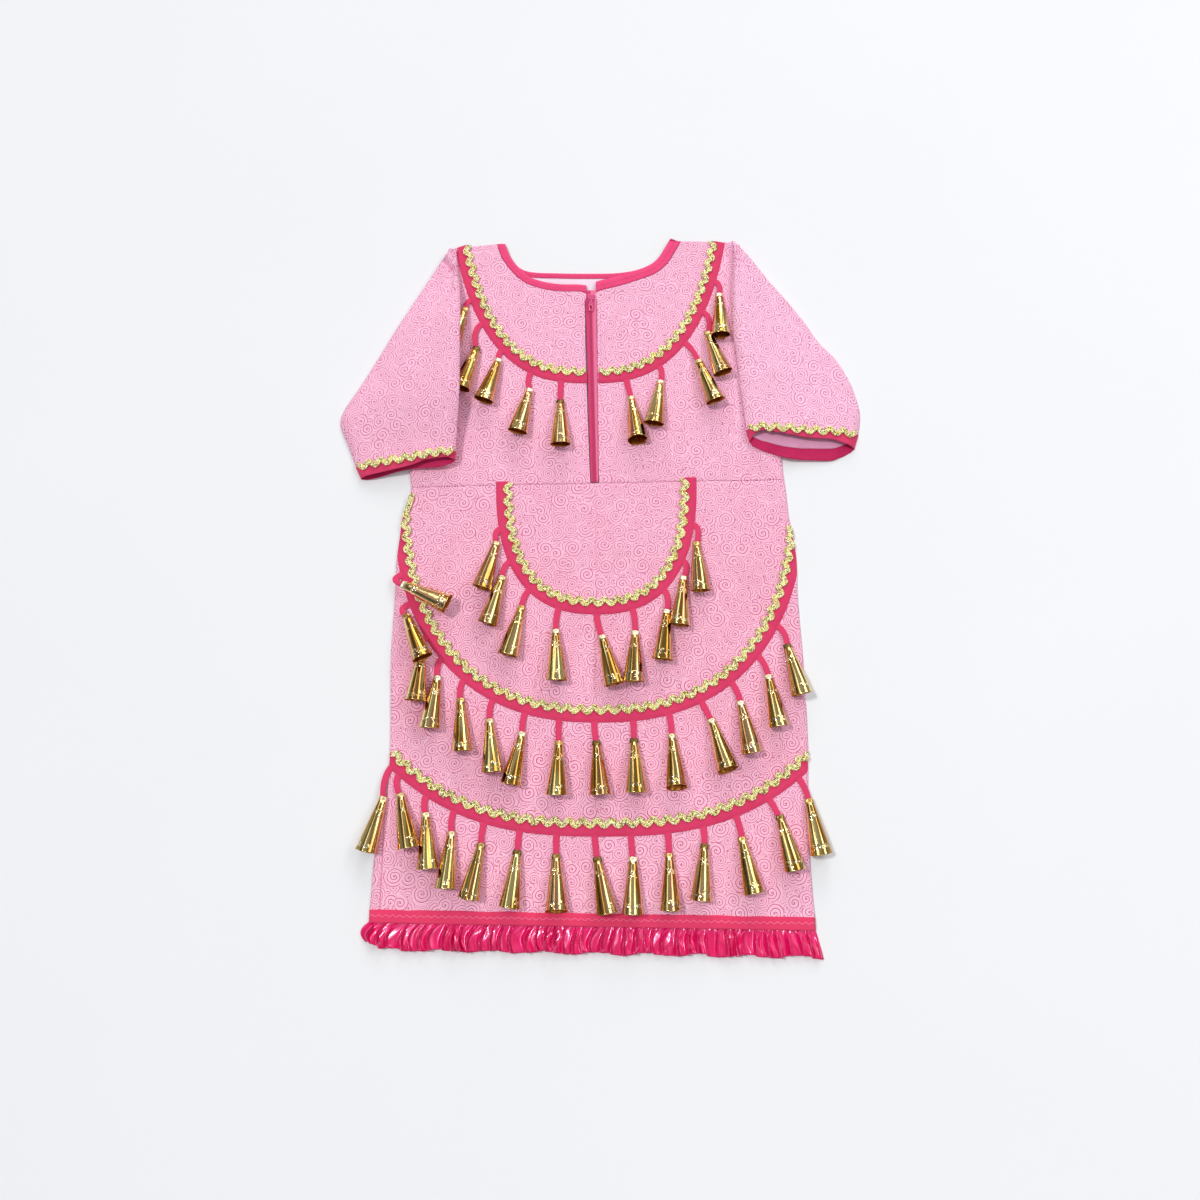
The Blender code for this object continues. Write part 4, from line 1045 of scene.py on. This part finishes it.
def add_loop(bm, root, outward, bend, tip, axis):
    """Folded tape from under the band, round its bend and into the cone's tip."""
    ends = tip + axis * 3
    stops = []
    for step in range(LOOP_STEPS + 1):
        share = step / LOOP_STEPS
        near, far = root - outward * 2.5, bend
        plan = near.lerp(far, share).lerp(far.lerp(ends.xy, share), share)
        ground = support(plan) + 0.35
        hung = between(ground, max(ground, ends.z - 0.4), share ** 1.6)
        stops.append(Vector((*plan, hung + 0.35 * math.sin(math.pi * share))))
    narrowed = [(centre, side * between(1.0, 0.8, index / LOOP_STEPS), up)
                for index, (centre, side, up) in enumerate(level_stops(stops))]
    swept(bm, narrowed, LOOP_RING)


def add_cone(bm, tip, axis, number):
    """Sheet metal rolled past a full turn, crimped on its tape, with a slanting mouth."""
    across = UP.cross(axis).normalized()
    upward = axis.cross(across)
    lap = math.radians(chance.uniform(15, 165))
    hand = chance.choice((-1, 1))
    slant = chance.uniform(0.3, 0.9)
    seed = chance.uniform(0, 90)
    oval = chance.uniform(0, math.pi)
    flats = [(waves, chance.uniform(0.02, 0.12)) for waves in CONE_FLATS]
    overhang = 2.0 if seed > 12 else -0.8

    def place(u, v):
        share = crowd(v, 0.6)
        angle = lap + hand * TURN * CONE_LAP * (u - 0.5)
        crimp = 1 - ease(share, *CONE_CRIMP)
        radius = between(CONE["neck"], CONE["mouth"], share ** 0.94) - CONE["lap_step"] * u
        radius *= 1 + 0.022 * math.sin(2 * (angle - oval)) * share
        radius += 0.2 * wander(1.3 * math.cos(angle) + seed, 1.3 * math.sin(angle), 2.2 * share)
        for waves, size in flats:
            radius += size * math.cos(waves * angle + seed * waves) * ease(share, 0.1, 0.5)
        radius += 0.16 * share ** 30
        wide = radius * (1.08 + 0.14 * crimp) * math.cos(angle)
        high = radius * (1 - 0.5 * crimp) * math.sin(angle)
        along = CONE["length"] * share + slant * (0.5 - u) * share ** 5 * 2
        along += overhang * math.sin(angle) * share ** 5
        return tip + axis * along + across * wide + upward * high

    def cut(u, v):
        return number * CONE_SHEET + u * 50, crowd(v, 0.6) * CONE["length"]

    _, faces = grid(bm, 46, 24, place, cut)
    face_out(bm, faces, tip, axis)


def jingles(name, arc, start, end):
    """A row of cones on their tape loops, each resting on what lies under it."""
    tape, metal = bmesh.new(), bmesh.new()
    for share, loop_length, loop_lean, cone_lean, *raised in JINGLES[name]:
        lift = raised[0] if raised else 0.0
        _, root, outward, _ = band_across(arc, between(start, end, share))
        tip_plan = root + lean(loop_lean) * loop_length
        cone_way = lean(cone_lean)
        mouth_plan = tip_plan + cone_way * CONE["length"]
        aside = Vector((8, 0))
        cloth_tip = max(support(tip_plan + cone_way * step) for step in (-4, 0, 10))
        cloth_mouth = max(support(mouth_plan + aside * side + cone_way * ahead)
                          for side in (-1, 0, 1) for ahead in (-10, 0, 4))
        tip_lift = min(TRIM_LIFT, max(0.0, lift))
        tip = Vector((*tip_plan, cloth_tip + CLEAR + CONE["top"] + tip_lift))
        mouth = Vector((*mouth_plan, cloth_mouth + CLEAR + CONE["mouth"] + lift))
        axis = (mouth - tip).normalized()
        bend = root + outward * (BEND_OVER_BAND if lift > 0 else BEND * loop_length)
        add_loop(tape, root, outward, bend, tip, axis)
        add_cone(metal, tip, axis, next(cone_numbers))
    loops = make_piece(f"loops_{name}", tape, ["tape"])
    cones = make_piece(f"cones_{name}", metal, ["cone", "lining"],
                       [f"jingles_{name}"], wall=CONE_WALL, lined=1)
    return [loops, cones]


# ------------------------------------------------------------------ neck

NECK_CROWN = ((0, -1.1), (0.05, -0.3), (0.14, 0.12), (0.35, 0.32), (0.65, 0.32), (0.86, 0.12),
              (0.95, -0.3), (1, -1.1))
ZIGZAG_PITCH = 6.5
ZIGZAG_SWING = 1.25
THREAD = 0.3


def front_neck_edges(table, inward, width, end_x, end_y):
    """Near and far edge points of the binding along one side of the front neckline."""
    count = 5 * (len(table) - 1 - FRONT_NECK_FROM)
    points = [Vector(row_at(table, FRONT_NECK_FROM + step / 5)[2:4]) for step in range(count + 1)]
    pairs = []
    for point, run in zip(points, runs(points)):
        normal = rightward(run) * inward
        pairs.append((point + normal * SEAM, point + normal * (width + SEAM)))
    pairs[0] = (Vector((end_x, pairs[0][0].y)), Vector((end_x, end_y)))
    shoulder = pairs[-1][0]
    pairs[-1] = (shoulder, Vector((shoulder.x + inward * 1.05 * width, shoulder.y)))
    return pairs


def zigzag(bm, rows, lift, middle=0.5):
    """Thread sewn in a zigzag along a strip's rows of near and far points."""
    centres = [near.lerp(far, middle) for near, far in rows]
    points = []
    for (near, far), centre, travelled in zip(rows, centres, distances(centres)):
        swing = abs((travelled / ZIGZAG_PITCH) % 1 - 0.5) * 4 - 1
        points.append(centre + (far - near).normalized() * swing * ZIGZAG_SWING + UP * lift)
    swept(bm, level_stops(points), round_ring(THREAD, 5))


def finer(rows, spacing):
    """Rows of near and far points, with more put between them."""
    made = []
    for (near, far), (next_near, next_far) in zip(rows, rows[1:]):
        steps = max(1, round(((near + far) - (next_near + next_far)).length / 2 / spacing))
        made += [(near.lerp(next_near, step / steps), far.lerp(next_far, step / steps))
                 for step in range(steps)]
    return made + [rows[-1]]


def neck_binding():
    """Tape along both sides of the front neckline, the back one and over the shoulders."""
    tape, thread = bmesh.new(), bmesh.new()
    top = FRONT_FLOOR + LOFT + COTTON

    def on_front(table, inward, word):
        pairs = front_neck_edges(table, inward, BINDINGS[word], *BINDING_ENDS[word])
        return [tuple(Vector((*point, max(top, cloth_z(*point)) + 0.1)) for point in pair)
                for pair in pairs]

    left = on_front(BODICE_LEFT, 1, "left")
    right = on_front(BODICE_RIGHT, -1, "right")
    back = [(Vector((*lower, 1.15)), Vector((*upper, 1.15))) for upper, lower in back_neck_edges()]
    travelled = 0.0
    for rows in (left, back, right):
        rows = finer(rows, 1.1)
        face_up(tape, ribbon(tape, rows, NECK_CROWN, travelled))
        zigzag(thread, rows, 0.42)
        travelled += 300
    for front_row, back_row in ((left[-1], back[0]), (right[-1], back[-1])):
        shoulder = [front_row, tuple(between(a, b, 0.5) + Vector((0, 0.3, 0))
                                     for a, b in zip(front_row, back_row)),
                    tuple(point - UP * 0.7 for point in back_row)]
        face_up(tape, ribbon(tape, shoulder, ((0, 0), (0.5, 0.1), (1, 0)), travelled))
        travelled += 40
    stitch = make_piece("neck_zigzag", thread, ["neck"])
    make_sheet("neck_tape", tape, ("neck", "tape_inside_shaded"), "neck_binding",
               BODICE_FRONTS + ["back_bodice"], wall=TAPE_WALL, trims=[stitch])


# ------------------------------------------------------------------ zip

TOOTH_PITCH = 1.5
TOOTH = (1.45, 0.5, 0.62)
TOOTH_SIDE = 0.55
ZIP_RIBS = ((0, 0.1), (0.12, 0.3), (0.26, 0.22), (0.32, -0.1), (0.38, 0.25), (0.62, 0.25),
            (0.68, -0.1), (0.74, 0.22), (0.88, 0.3), (1, 0.1))
COIL_Z = FRONT_FLOOR + LOFT + 1.35
STITCH = 2.3
TOPSTITCH_GAPS = (-3.4, 3.6)
TOPSTITCH_TOP_Y = 326
SLIDER = dict(length=8.5, half_width=3.7, plate=1.0)
PULL = dict(length=14.0, half_width=2.4, thickness=1.0, slope=6.5)


def zip_middle(y):
    left, right = zip_edges(y)
    return (left + right) / 2


def zip_tapes():
    rows = []
    for y in stations(ZIP_FOOT_Y, ZIP_TOP_Y + 3, 2):
        left, right = zip_edges(y)
        rows.append((Vector((left + 0.2, y, COIL_Z - 0.7)), Vector((right - 0.2, y, COIL_Z - 0.7))))
    tapes = bmesh.new()
    face_up(tapes, ribbon(tapes, rows, ZIP_RIBS))
    coil = bmesh.new()
    for step in range(round((ZIP_TOP_Y - ZIP_FOOT_Y - 2) / TOOTH_PITCH)):
        y = ZIP_FOOT_Y + 1 + step * TOOTH_PITCH
        made = bmesh.ops.create_uvsphere(coil, u_segments=8, v_segments=6, radius=1)["verts"]
        bmesh.ops.scale(coil, vec=TOOTH, verts=made)
        side = TOOTH_SIDE if step % 2 else -TOOTH_SIDE
        bmesh.ops.translate(coil, vec=(zip_middle(y) + side, y, COIL_Z + 0.35), verts=made)
    teeth = make_piece("zip_coil", coil, ["coil"])
    make_sheet("zip_tapes", tapes, ("zip", "zip"), "zip", BODICE_FRONTS,
               wall=TAPE_WALL, trims=[teeth])


def stitches(bm, points, lift):
    """Short stitches with gaps, sunk at their ends."""
    travelled = 0.0
    for a, b in zip(points, points[1:]):
        run = b - a
        way = (run.normalized() * (STITCH * 0.36)).to_3d()
        sunk = UP * 0.22
        while travelled < run.length:
            middle = a + run * min(1, (travelled + STITCH / 2) / run.length)
            middle = on_cloth(middle, lift)
            ends = middle - way - sunk, middle, middle + way - sunk
            swept(bm, level_stops(ends), round_ring(0.22, 5))
            travelled += STITCH
        travelled -= run.length


def topstitching():
    """A row of stitches on each side of the zip."""
    bm = bmesh.new()
    for side, gap in enumerate(TOPSTITCH_GAPS):
        points = [Vector((zip_edges(y)[side] + gap, y))
                  for y in stations(ZIP_FOOT_Y + 2, TOPSTITCH_TOP_Y, 8)]
        stitches(bm, points, 0.05)
    make_piece("topstitching", bm, ["thread"])


def rounded_block(bm, low, high, bevel):
    made = bmesh.ops.create_cube(bm, size=1.0)["verts"]
    low, high = Vector(low), Vector(high)
    bmesh.ops.scale(bm, vec=high - low, verts=made)
    bmesh.ops.translate(bm, vec=(low + high) / 2, verts=made)
    edges = {edge for vert in made for edge in vert.link_edges}
    bmesh.ops.bevel(bm, geom=list(edges), offset=bevel, offset_type="OFFSET", segments=3,
                    affect="EDGES", profile=0.5, material=-1)


def zip_slider():
    """Crowned plate over the coil, narrower at its ends, with the two lugs of its bridge."""
    y, half, length = SLIDER_Y, SLIDER["half_width"], SLIDER["length"]
    low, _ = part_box("zip_slider")
    middle = zip_middle(y)
    bottom = low.z / MM + 0.1
    bm = bmesh.new()
    rounded_block(bm, (middle - half, y - length / 2, bottom + 0.7),
                  (middle + half, y + length / 2, COIL_Z + 2.0), 0.55)
    for vert in bm.verts:
        along = (vert.co.y - y) / length
        waist = 1 - 0.24 * ease(-along, 0.1, 0.5) - 0.1 * ease(along, 0.3, 0.5)
        vert.co.x = middle + (vert.co.x - middle) * waist
    for side in (-1, 1):
        lug_x = middle + side * 2.25
        rounded_block(bm, (lug_x - 0.45, y - 3.4, COIL_Z + 1.5),
                      (lug_x + 0.45, y - 1.0, COIL_Z + 3.6), 0.35)
    make_piece("slider_body", bm, ["enamel"], ["zip_slider"])


def zip_pull():
    """Flat tab with an opening near its end and a barrel between the slider's lugs."""
    low, high = (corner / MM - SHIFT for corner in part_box("zip_pull"))
    length, half = PULL["length"], PULL["half_width"]
    slope = math.radians(PULL["slope"])
    pivot = Vector(((low.x + high.x) / 2, high.y - 0.85, high.z - 0.85))
    down = Vector((0, -math.cos(slope), -math.sin(slope)))
    side, out = Vector((1, 0, 0)), Vector((0, -math.sin(slope), math.cos(slope)))

    def outline(angle):
        wide, along = math.cos(angle), math.sin(angle)
        reach = between(1.55, half, ease(along, -1.0, -0.3))
        corner = math.copysign(abs(wide) ** 0.6, wide)
        return reach * corner, length / 2 + 0.4 + (length / 2 - 0.5) * math.copysign(
            abs(along) ** 0.7, along)

    def opening(angle):
        return 1.05 * math.cos(angle), 9.6 + 2.3 * math.sin(angle)

    def place(u, v):
        rounding = math.sin(TURN * v)
        share = 0.5 - 0.5 * math.cos(TURN * v)
        edge = 0.5 * PULL["thickness"] * math.copysign(abs(rounding) ** 0.35, rounding)
        wide, along = (between(a, b, share) for a, b in zip(outline(TURN * u), opening(TURN * u)))
        return pivot + side * wide + down * along + out * edge

    bm = bmesh.new()
    verts, _ = grid(bm, 40, 20, place, lambda u, v: (u * 40, v * 12))
    bmesh.ops.remove_doubles(bm, verts=verts, dist=1e-4)
    bmesh.ops.recalc_face_normals(bm, faces=bm.faces[:])
    barrel = [(pivot + side * (1.45 * step / 4), out, -down) for step in range(-4, 5)]
    swept(bm, barrel, round_ring(0.8, 14))
    make_piece("pull_tab", bm, ["enamel"], ["zip_pull"], body="pull")


# ------------------------------------------------------------------ sleeves and cuffs

SLEEVE_WRINKLES = dict(
    left=((-168, 372, -181, 168, 11, -2.4), (-196, 330, -214, 190, 16, 1.2),
          (-232, 250, -205, 170, 12, -0.9), (-200, 320, -188, 290, 9, -0.7),
          (-169, 377, -158, 363, 2.4, -4.5), (-158, 363, -160, 330, 4, -2.4),
          (-157.5, 388, -155.5, 374, 1.8, -3.0), (-163, 376, -152, 356, 3, 1.6),
          (-174, 368, -178, 330, 4, -1.8)),
    right=((160, 372, 176, 300, 10, -0.9), (147, 394, 152, 360, 1.8, -2.4),
           (152, 388, 160, 350, 2.6, -1.8), (196, 322, 258, 214, 4, -1.4),
           (205, 310, 190, 200, 15, -0.9), (235, 270, 222, 190, 12, 0.9),
           (170, 250, 176, 190, 9, -0.8)),
)


def sleeve_point(word, row, u, swell, gathers):
    """Spot round a sleeve: the under layer out to the fold, then the upper layer back."""
    in_x, in_y, in_z, out_x, out_y, out_z, room, over_part, under_part = row
    side = -1 if word == "left" else 1
    over = u > 0.5
    share = crowd(2 * (1 - u) if over else 2 * u, SLEEVE_CROWD)
    width = math.hypot(out_x - in_x, out_y - in_y)
    x, y = between(in_x, out_x, share), between(in_y, out_y, share)
    bulge = 4 * share * (1 - share)
    base = between(in_z, out_z, share ** 1.3)
    off_edge = side * (x - side_edges(y)[0 if side < 0 else 1])
    base = max(base, SLEEVE_OVER * (1 - ease(off_edge, 6, SLEEVE_CLEAR + 8)))
    thick = 2 * COTTON + (room + 1.6) * min(1, 4 * bulge) * 0.8
    if over:
        thick += folds_height(SLEEVE_WRINKLES[word], x, y) * min(1, 3 * bulge)
        thick += (0.9 * wander(x / 34, y / 34, 7) + 0.35 * wander(x / 13, y / 13, 9)) * bulge
        cap = ease(y, CAP_GATHERS["low_y"], CAP_GATHERS["high_y"])
        cap *= math.exp(-share * width / CAP_GATHERS["reach"])
        cap *= min(1, share * width / 3)
        wave = math.sin(TURN * y / CAP_GATHERS["pitch"] + 2 * wander(y / 9, 2))
        thick += gathers * cap * (0.6 + wave)
    near_fold = min(share, 1 - share) * width
    rounding = math.sqrt(max(0.0, 1 - (1 - min(1, near_fold / 3.2)) ** 2))
    height = 0.5 * thick * (1 + rounding if over else 1 - rounding)
    if over:
        height += swell
    elif near_fold > 0:
        height -= min(swell, base + height) * rounding
    _, over_rise, under_rise = read(CUFF_EDGES[word], share)
    bow = over_part * over_rise if over else under_part * under_rise
    return Vector((x, y + bow, base + height))


def sleeve_tube(word, rows, along, swell=0.0, gathers=0.0):
    """Cloth tube through a table of rows, and the cut that it was sewn from."""
    bm = bmesh.new()

    def row(v):
        return row_at(rows, v * (len(rows) - 1))

    def place(u, v):
        return sleeve_point(word, row(v), u, swell, gathers)

    def cut(u, v):
        spot = place(u, v)
        fold_x = row(v)[3]
        return (spot.x if u >= 0.5 else 2 * fold_x - spot.x), spot.y

    verts, faces = grid(bm, 76, along, place, cut)
    bmesh.ops.remove_doubles(bm, verts=verts, dist=1e-4)
    faces = [face for face in faces if face.is_valid]
    start, end = (place(0.5, v).lerp(place(0, v), 0.5) for v in (0.0, 1.0))
    face_out(bm, faces, start, (end - start).normalized())
    return bm


def sleeve(word, table, end_row):
    """Sleeve with gathers at its cap, and the cuff's tape over its lower edge."""
    cotton = sleeve_tube(word, table, 100, gathers=CAP_GATHERS["depth"])
    make_sheet(f"sleeve_cloth_{word}", cotton, ("print", "inside"),
               f"sleeve_{word}", [f"front_bodice_{word}"])
    seam = row_at(table, len(table) - 1.12)
    tape = sleeve_tube(word, [seam, table[-1], end_row], 12, swell=CUFF_SWELL)
    braid = cuff_braid(word, table[-1])
    make_sheet(f"cuff_tape_{word}", tape, ("tape", "tape_inside_shaded"),
               f"cuff_band_{word}", [f"sleeve_cloth_{word}"], wall=TAPE_WALL,
               trims=[braid])


def cuff_braid(word, row):
    """Ric-rac over the cuff's seam, on the upper layer alone."""
    run = Vector(row[3:5]) - Vector(row[0:2])
    outward = (rightward(run) * (1 if run.x > 0 else -1)).to_3d()
    centres = []
    count = 170
    for step in range(count + 1):
        share = between(0.02, 0.975, step / count)
        swing = -BRAID_SWING * math.cos(TURN * CUFF_WAVES * step / count)
        spot = sleeve_point(word, row, 1 - uncrowd(share, SLEEVE_CROWD) / 2, CUFF_SWELL, 0.0)
        centres.append(spot + outward * swing + UP * (STRAND + 0.45))
    return braid_over(f"braid_cuff_{word}", centres, f"ricrac_cuff_{word}")


# ------------------------------------------------------------------ hem

HEM_ENDS = side_edges(hem_y(0))


def hem_tape():
    """Front and back of the hem band, the front turned down round the side edges."""
    rows = []
    for x in stations(*HEM_ENDS, 2.5):
        near_y = hem_y(x) + 0.6 + 0.9 * wander(x / 24, 3)
        near = Vector((x, near_y, cloth_z(x, hem_y(x)) + 0.35))
        far = Vector((x, hem_y(x) - HEM_BAND, cloth_z(x, hem_y(x) - HEM_BAND) + 0.35))
        rows.append((near, far))
    for end, way in ((0, -1), (len(rows) - 1, 1)):
        near, far = rows[end]
        turned = [(Vector((near.x + way * out, near.y, z)), Vector((far.x + way * out, far.y, z)))
                  for out, z in ((0.5, 1.1), (0.35, 0.3))]
        rows = turned[::-1] + rows if way < 0 else rows + turned
    front, thread, back = bmesh.new(), bmesh.new(), bmesh.new()
    face_up(front, ribbon(front, rows, HEM_CROWN))
    zigzag(thread, finer(rows[2:-2], 1.1), 0.5, 0.47)
    flat = [(Vector((x, hem_y(x) + 0.6, 0.02)), Vector((x, hem_y(x) - HEM_BAND, 0.02)))
            for x in stations(*HEM_ENDS, 5)]
    face_down(back, ribbon(back, flat, ((0, 0), (0.5, 0), (1, 0))))
    stitch = make_piece("hem_zigzag", thread, ["thread"])
    for word, bm, rests_on, trims in (("front", front, ["hem_tape_back"], [stitch]),
                                      ("back", back, [], ())):
        make_sheet(f"hem_tape_{word}", bm, ("hem", "tape_inside_shaded"), "hem_band",
                   rests_on, wall=TAPE_WALL, trims=trims)


def satin_spot(u, v, spread, drop, corner, uneven=0.0):
    """Where the satin hangs in plan before it folds, its lower edge in lobes.

    The spread is how far it goes past its left and right ends, the corner how much shorter it
    is at its left end and over what length.
    """
    left, right = HEM_ENDS
    x = between(left - spread[0] * math.sin(2.75 * v), right + spread[1] * v, u)
    rounded = 1 - corner[0] * (1 - ease(u * (right - left), 0, corner[1])) ** 2
    lobe = (1.4 * (1 + math.cos(TURN * LOBES * u)) + uneven * wander(u * 31, 41)) * v * v
    return x, hem_y(x) - HEM_BAND + 1.2 - v * drop * rounded - lobe


def ruffle(name, cells, place, fullness, rests_on):
    """Satin gathered into the hem band, longer when drawn out by its fullness."""
    width = HEM_ENDS[1] - HEM_ENDS[0]
    bm = bmesh.new()
    faces = grid(bm, *cells, place,
                 lambda u, v: (u * width * fullness, v * (RUFFLE_DROP + 2)))[1]
    (face_up if name == "ruffle_front" else face_down)(bm, faces)
    make_sheet(name, bm, ("satin", "satin"), "hem_ruffle", rests_on,
               wall=0.3)


def ruffle_front():
    """Uneven folds that lean as they open, with finer ones where they are sewn in."""
    width = HEM_ENDS[1] - HEM_ENDS[0]

    def place(u, v):
        x, y = satin_spot(u, v, spread=(8, 1.5 * RUFFLE_FLARE), drop=RUFFLE_DROP + 0.6,
                          corner=(0.34, 22), uneven=1.8)
        edge = ease(min(u, 1 - u) * width, 0, 7)
        size = 0.9 + 0.7 * wander(u * 23, 5)
        slant = 4.4 + 4.5 * wander(u * 7, 11)
        curl = 3.4 * wander(u * 13, 21) * math.sin(math.pi * v)
        phase = TURN * (FRONT_GATHERS * u + 0.75 * wander(u * 15, 3) + 0.22 * wander(u * 44, 8))
        phase += slant * v + curl
        opened = ease(v, 0.0, 0.35)
        crest = 0.5 + 0.5 * math.cos(phase)
        second = 0.5 + 0.5 * math.cos(2 * phase + 3.5 * wander(u * 26, 1.5 * v, 1))
        ridge = 0.6 * crest + 0.4 * crest ** 6 + 0.34 * second
        fine = 0.5 + 0.5 * math.sin(2.6 * phase + 3 * wander(u * 60, 1))
        height = between(0.7 * fine, size * (3.2 + 2.8 * v) * ridge, opened)
        sway = -edge * opened * (1.25 + 0.5 * v) * math.sin(phase)
        sway += 0.3 * edge * opened * height
        floor = between(0.5, FRONT_FLOOR + 0.2, edge)
        return Vector((x + sway, y, floor + edge * height + 0.7 * (1 - v) * edge))

    ruffle("ruffle_front", (860, 18), place, fullness=1.5,
           rests_on=["ruffle_back", "hem_tape_front"])


def ruffle_back():
    def place(u, v):
        x, y = satin_spot(u, v, spread=(7, RUFFLE_FLARE), drop=RUFFLE_DROP - 0.4,
                          corner=(0.38, 24))
        phase = TURN * (FRONT_GATHERS * u + 0.5 * wander(u * 12, 31))
        return Vector((x, y, 0.03 + 0.4 * (1 + math.sin(phase)) * ease(v, 0, 0.3)))

    ruffle("ruffle_back", (260, 8), place, fullness=1.15, rests_on=["hem_tape_back"])


# ------------------------------------------------------------------ the whole dress

def dress():
    bodice_back()
    skirt_back()
    bodice_front("left", BODICE_LEFT)
    bodice_front("right", BODICE_RIGHT)
    skirt_front("left", 0, CENTRE_SEAM_X + 0.5)
    skirt_front("right", 1, CENTRE_SEAM_X)
    arcs = {name: Arc(*sizes) for name, sizes in ARCS.items()}
    left, right = zip_edges(YOKE_ZIP_Y)
    yoke = arcs.pop("yoke")
    spans = dict(yoke_left=(yoke, 0, yoke.distance_at_x(left - SEAM)),
                 yoke_right=(yoke, yoke.distance_at_x(right + SEAM), yoke.length))
    spans.update({name: (arc, 0, arc.length) for name, arc in arcs.items()})
    for name, (arc, start, end) in spans.items():
        trims = jingles(name, arc, start, end)
        if name in BAND_ENDS:
            arc = Arc(*ARCS[name][:5], *BAND_ENDS[name])
            start, end = 0, arc.length
        trims.append(ricrac(name, arc, start, end))
        band(name, arc, start, end, trims)
    neck_binding()
    zip_tapes()
    topstitching()
    zip_slider()
    zip_pull()
    sleeve("left", SLEEVE_LEFT, CUFF_LEFT_END)
    sleeve("right", SLEEVE_RIGHT, CUFF_RIGHT_END)
    hem_tape()
    ruffle_front()
    ruffle_back()


# ------------------------------------------------------------------ floor, light and camera

def facing_the_dress(come_from, distance):
    """Where a lamp or a card stands, its long side along the dress and its back outwards."""
    away = Vector(come_from).normalized()
    along = (Vector((0, 1, 0)) - away * away.y).normalized()
    turn = Matrix((along, away.cross(along), away)).transposed()
    return Matrix.Translation(away * distance) @ turn.to_4x4()


def stage_plane(name, finish, length, width, matrix):
    bm = bmesh.new()
    bmesh.ops.create_grid(bm, x_segments=1, y_segments=1, size=0.5)
    bmesh.ops.scale(bm, vec=(length, width, 1.0), verts=bm.verts)
    bmesh.ops.transform(bm, matrix=matrix, verts=bm.verts)
    put_in_scene(name, mesh_from(name, bm, [finish]))


def sun(name, come_from, strength, angle, colour=(1, 1, 1)):
    lamp = bpy.data.lights.new(name, "SUN")
    lamp.energy, lamp.angle, lamp.color = strength, math.radians(angle), colour
    holder = put_in_scene(name, lamp)
    holder.rotation_euler = (-Vector(come_from)).to_track_quat("-Z", "Y").to_euler()


def softbox(name, come_from, distance, long_side, short_side, watts):
    """A rectangle of light with its long side along the dress."""
    lamp = bpy.data.lights.new(name, "AREA")
    lamp.shape, lamp.size, lamp.size_y, lamp.energy = "RECTANGLE", long_side, short_side, watts
    put_in_scene(name, lamp).matrix_world = facing_the_dress(come_from, distance)


def studio():
    """Suns from the left, the neck and the hem, a strip light on each side and a dim room.

    A grey card high on the left gives the dark line along each cone.
    """
    stage_plane("floor", "floor", 8.0, 8.0, Matrix.Translation((0, 0, -0.0004)))
    sun("key", (-0.44, 0.14, 1.0), 1.24, 7, (1.0, 0.99, 0.97))
    sun("back", (0.05, 1.0, 0.45), 0.8, 25)
    sun("front", (0.1, -0.6, 1.0), 0.3, 40)
    softbox("strip", (0.64, 0.4, 0.77), 5.0, 6.0, 1.4, 80)
    softbox("thin_strip", (-0.5, 0.35, 0.8), 5.0, 6.0, 0.5, 20)
    stage_plane("dark_card", "card", 5.0, 1.1, facing_the_dress((-0.86, 0.12, 0.53), 3.4))
    world = bpy.data.worlds.new("studio")
    world.use_nodes = True
    background = world.node_tree.nodes["Background"]
    background.inputs["Color"].default_value = srgb(236, 240, 246)
    background.inputs["Strength"].default_value = 0.33
    bpy.context.scene.world = world
    bpy.context.scene.view_settings.view_transform = "Standard"


def camera():
    lens = bpy.data.cameras.new("camera")
    lens.lens, lens.sensor_width = 33.0, 36.0
    holder = put_in_scene("camera", lens)
    holder.location = (Vector((0, -266.1, 1067.3)) + SHIFT) * MM
    holder.rotation_euler = (math.radians(14), 0, 0)
    bpy.context.scene.camera = holder


dress()
studio()
camera()
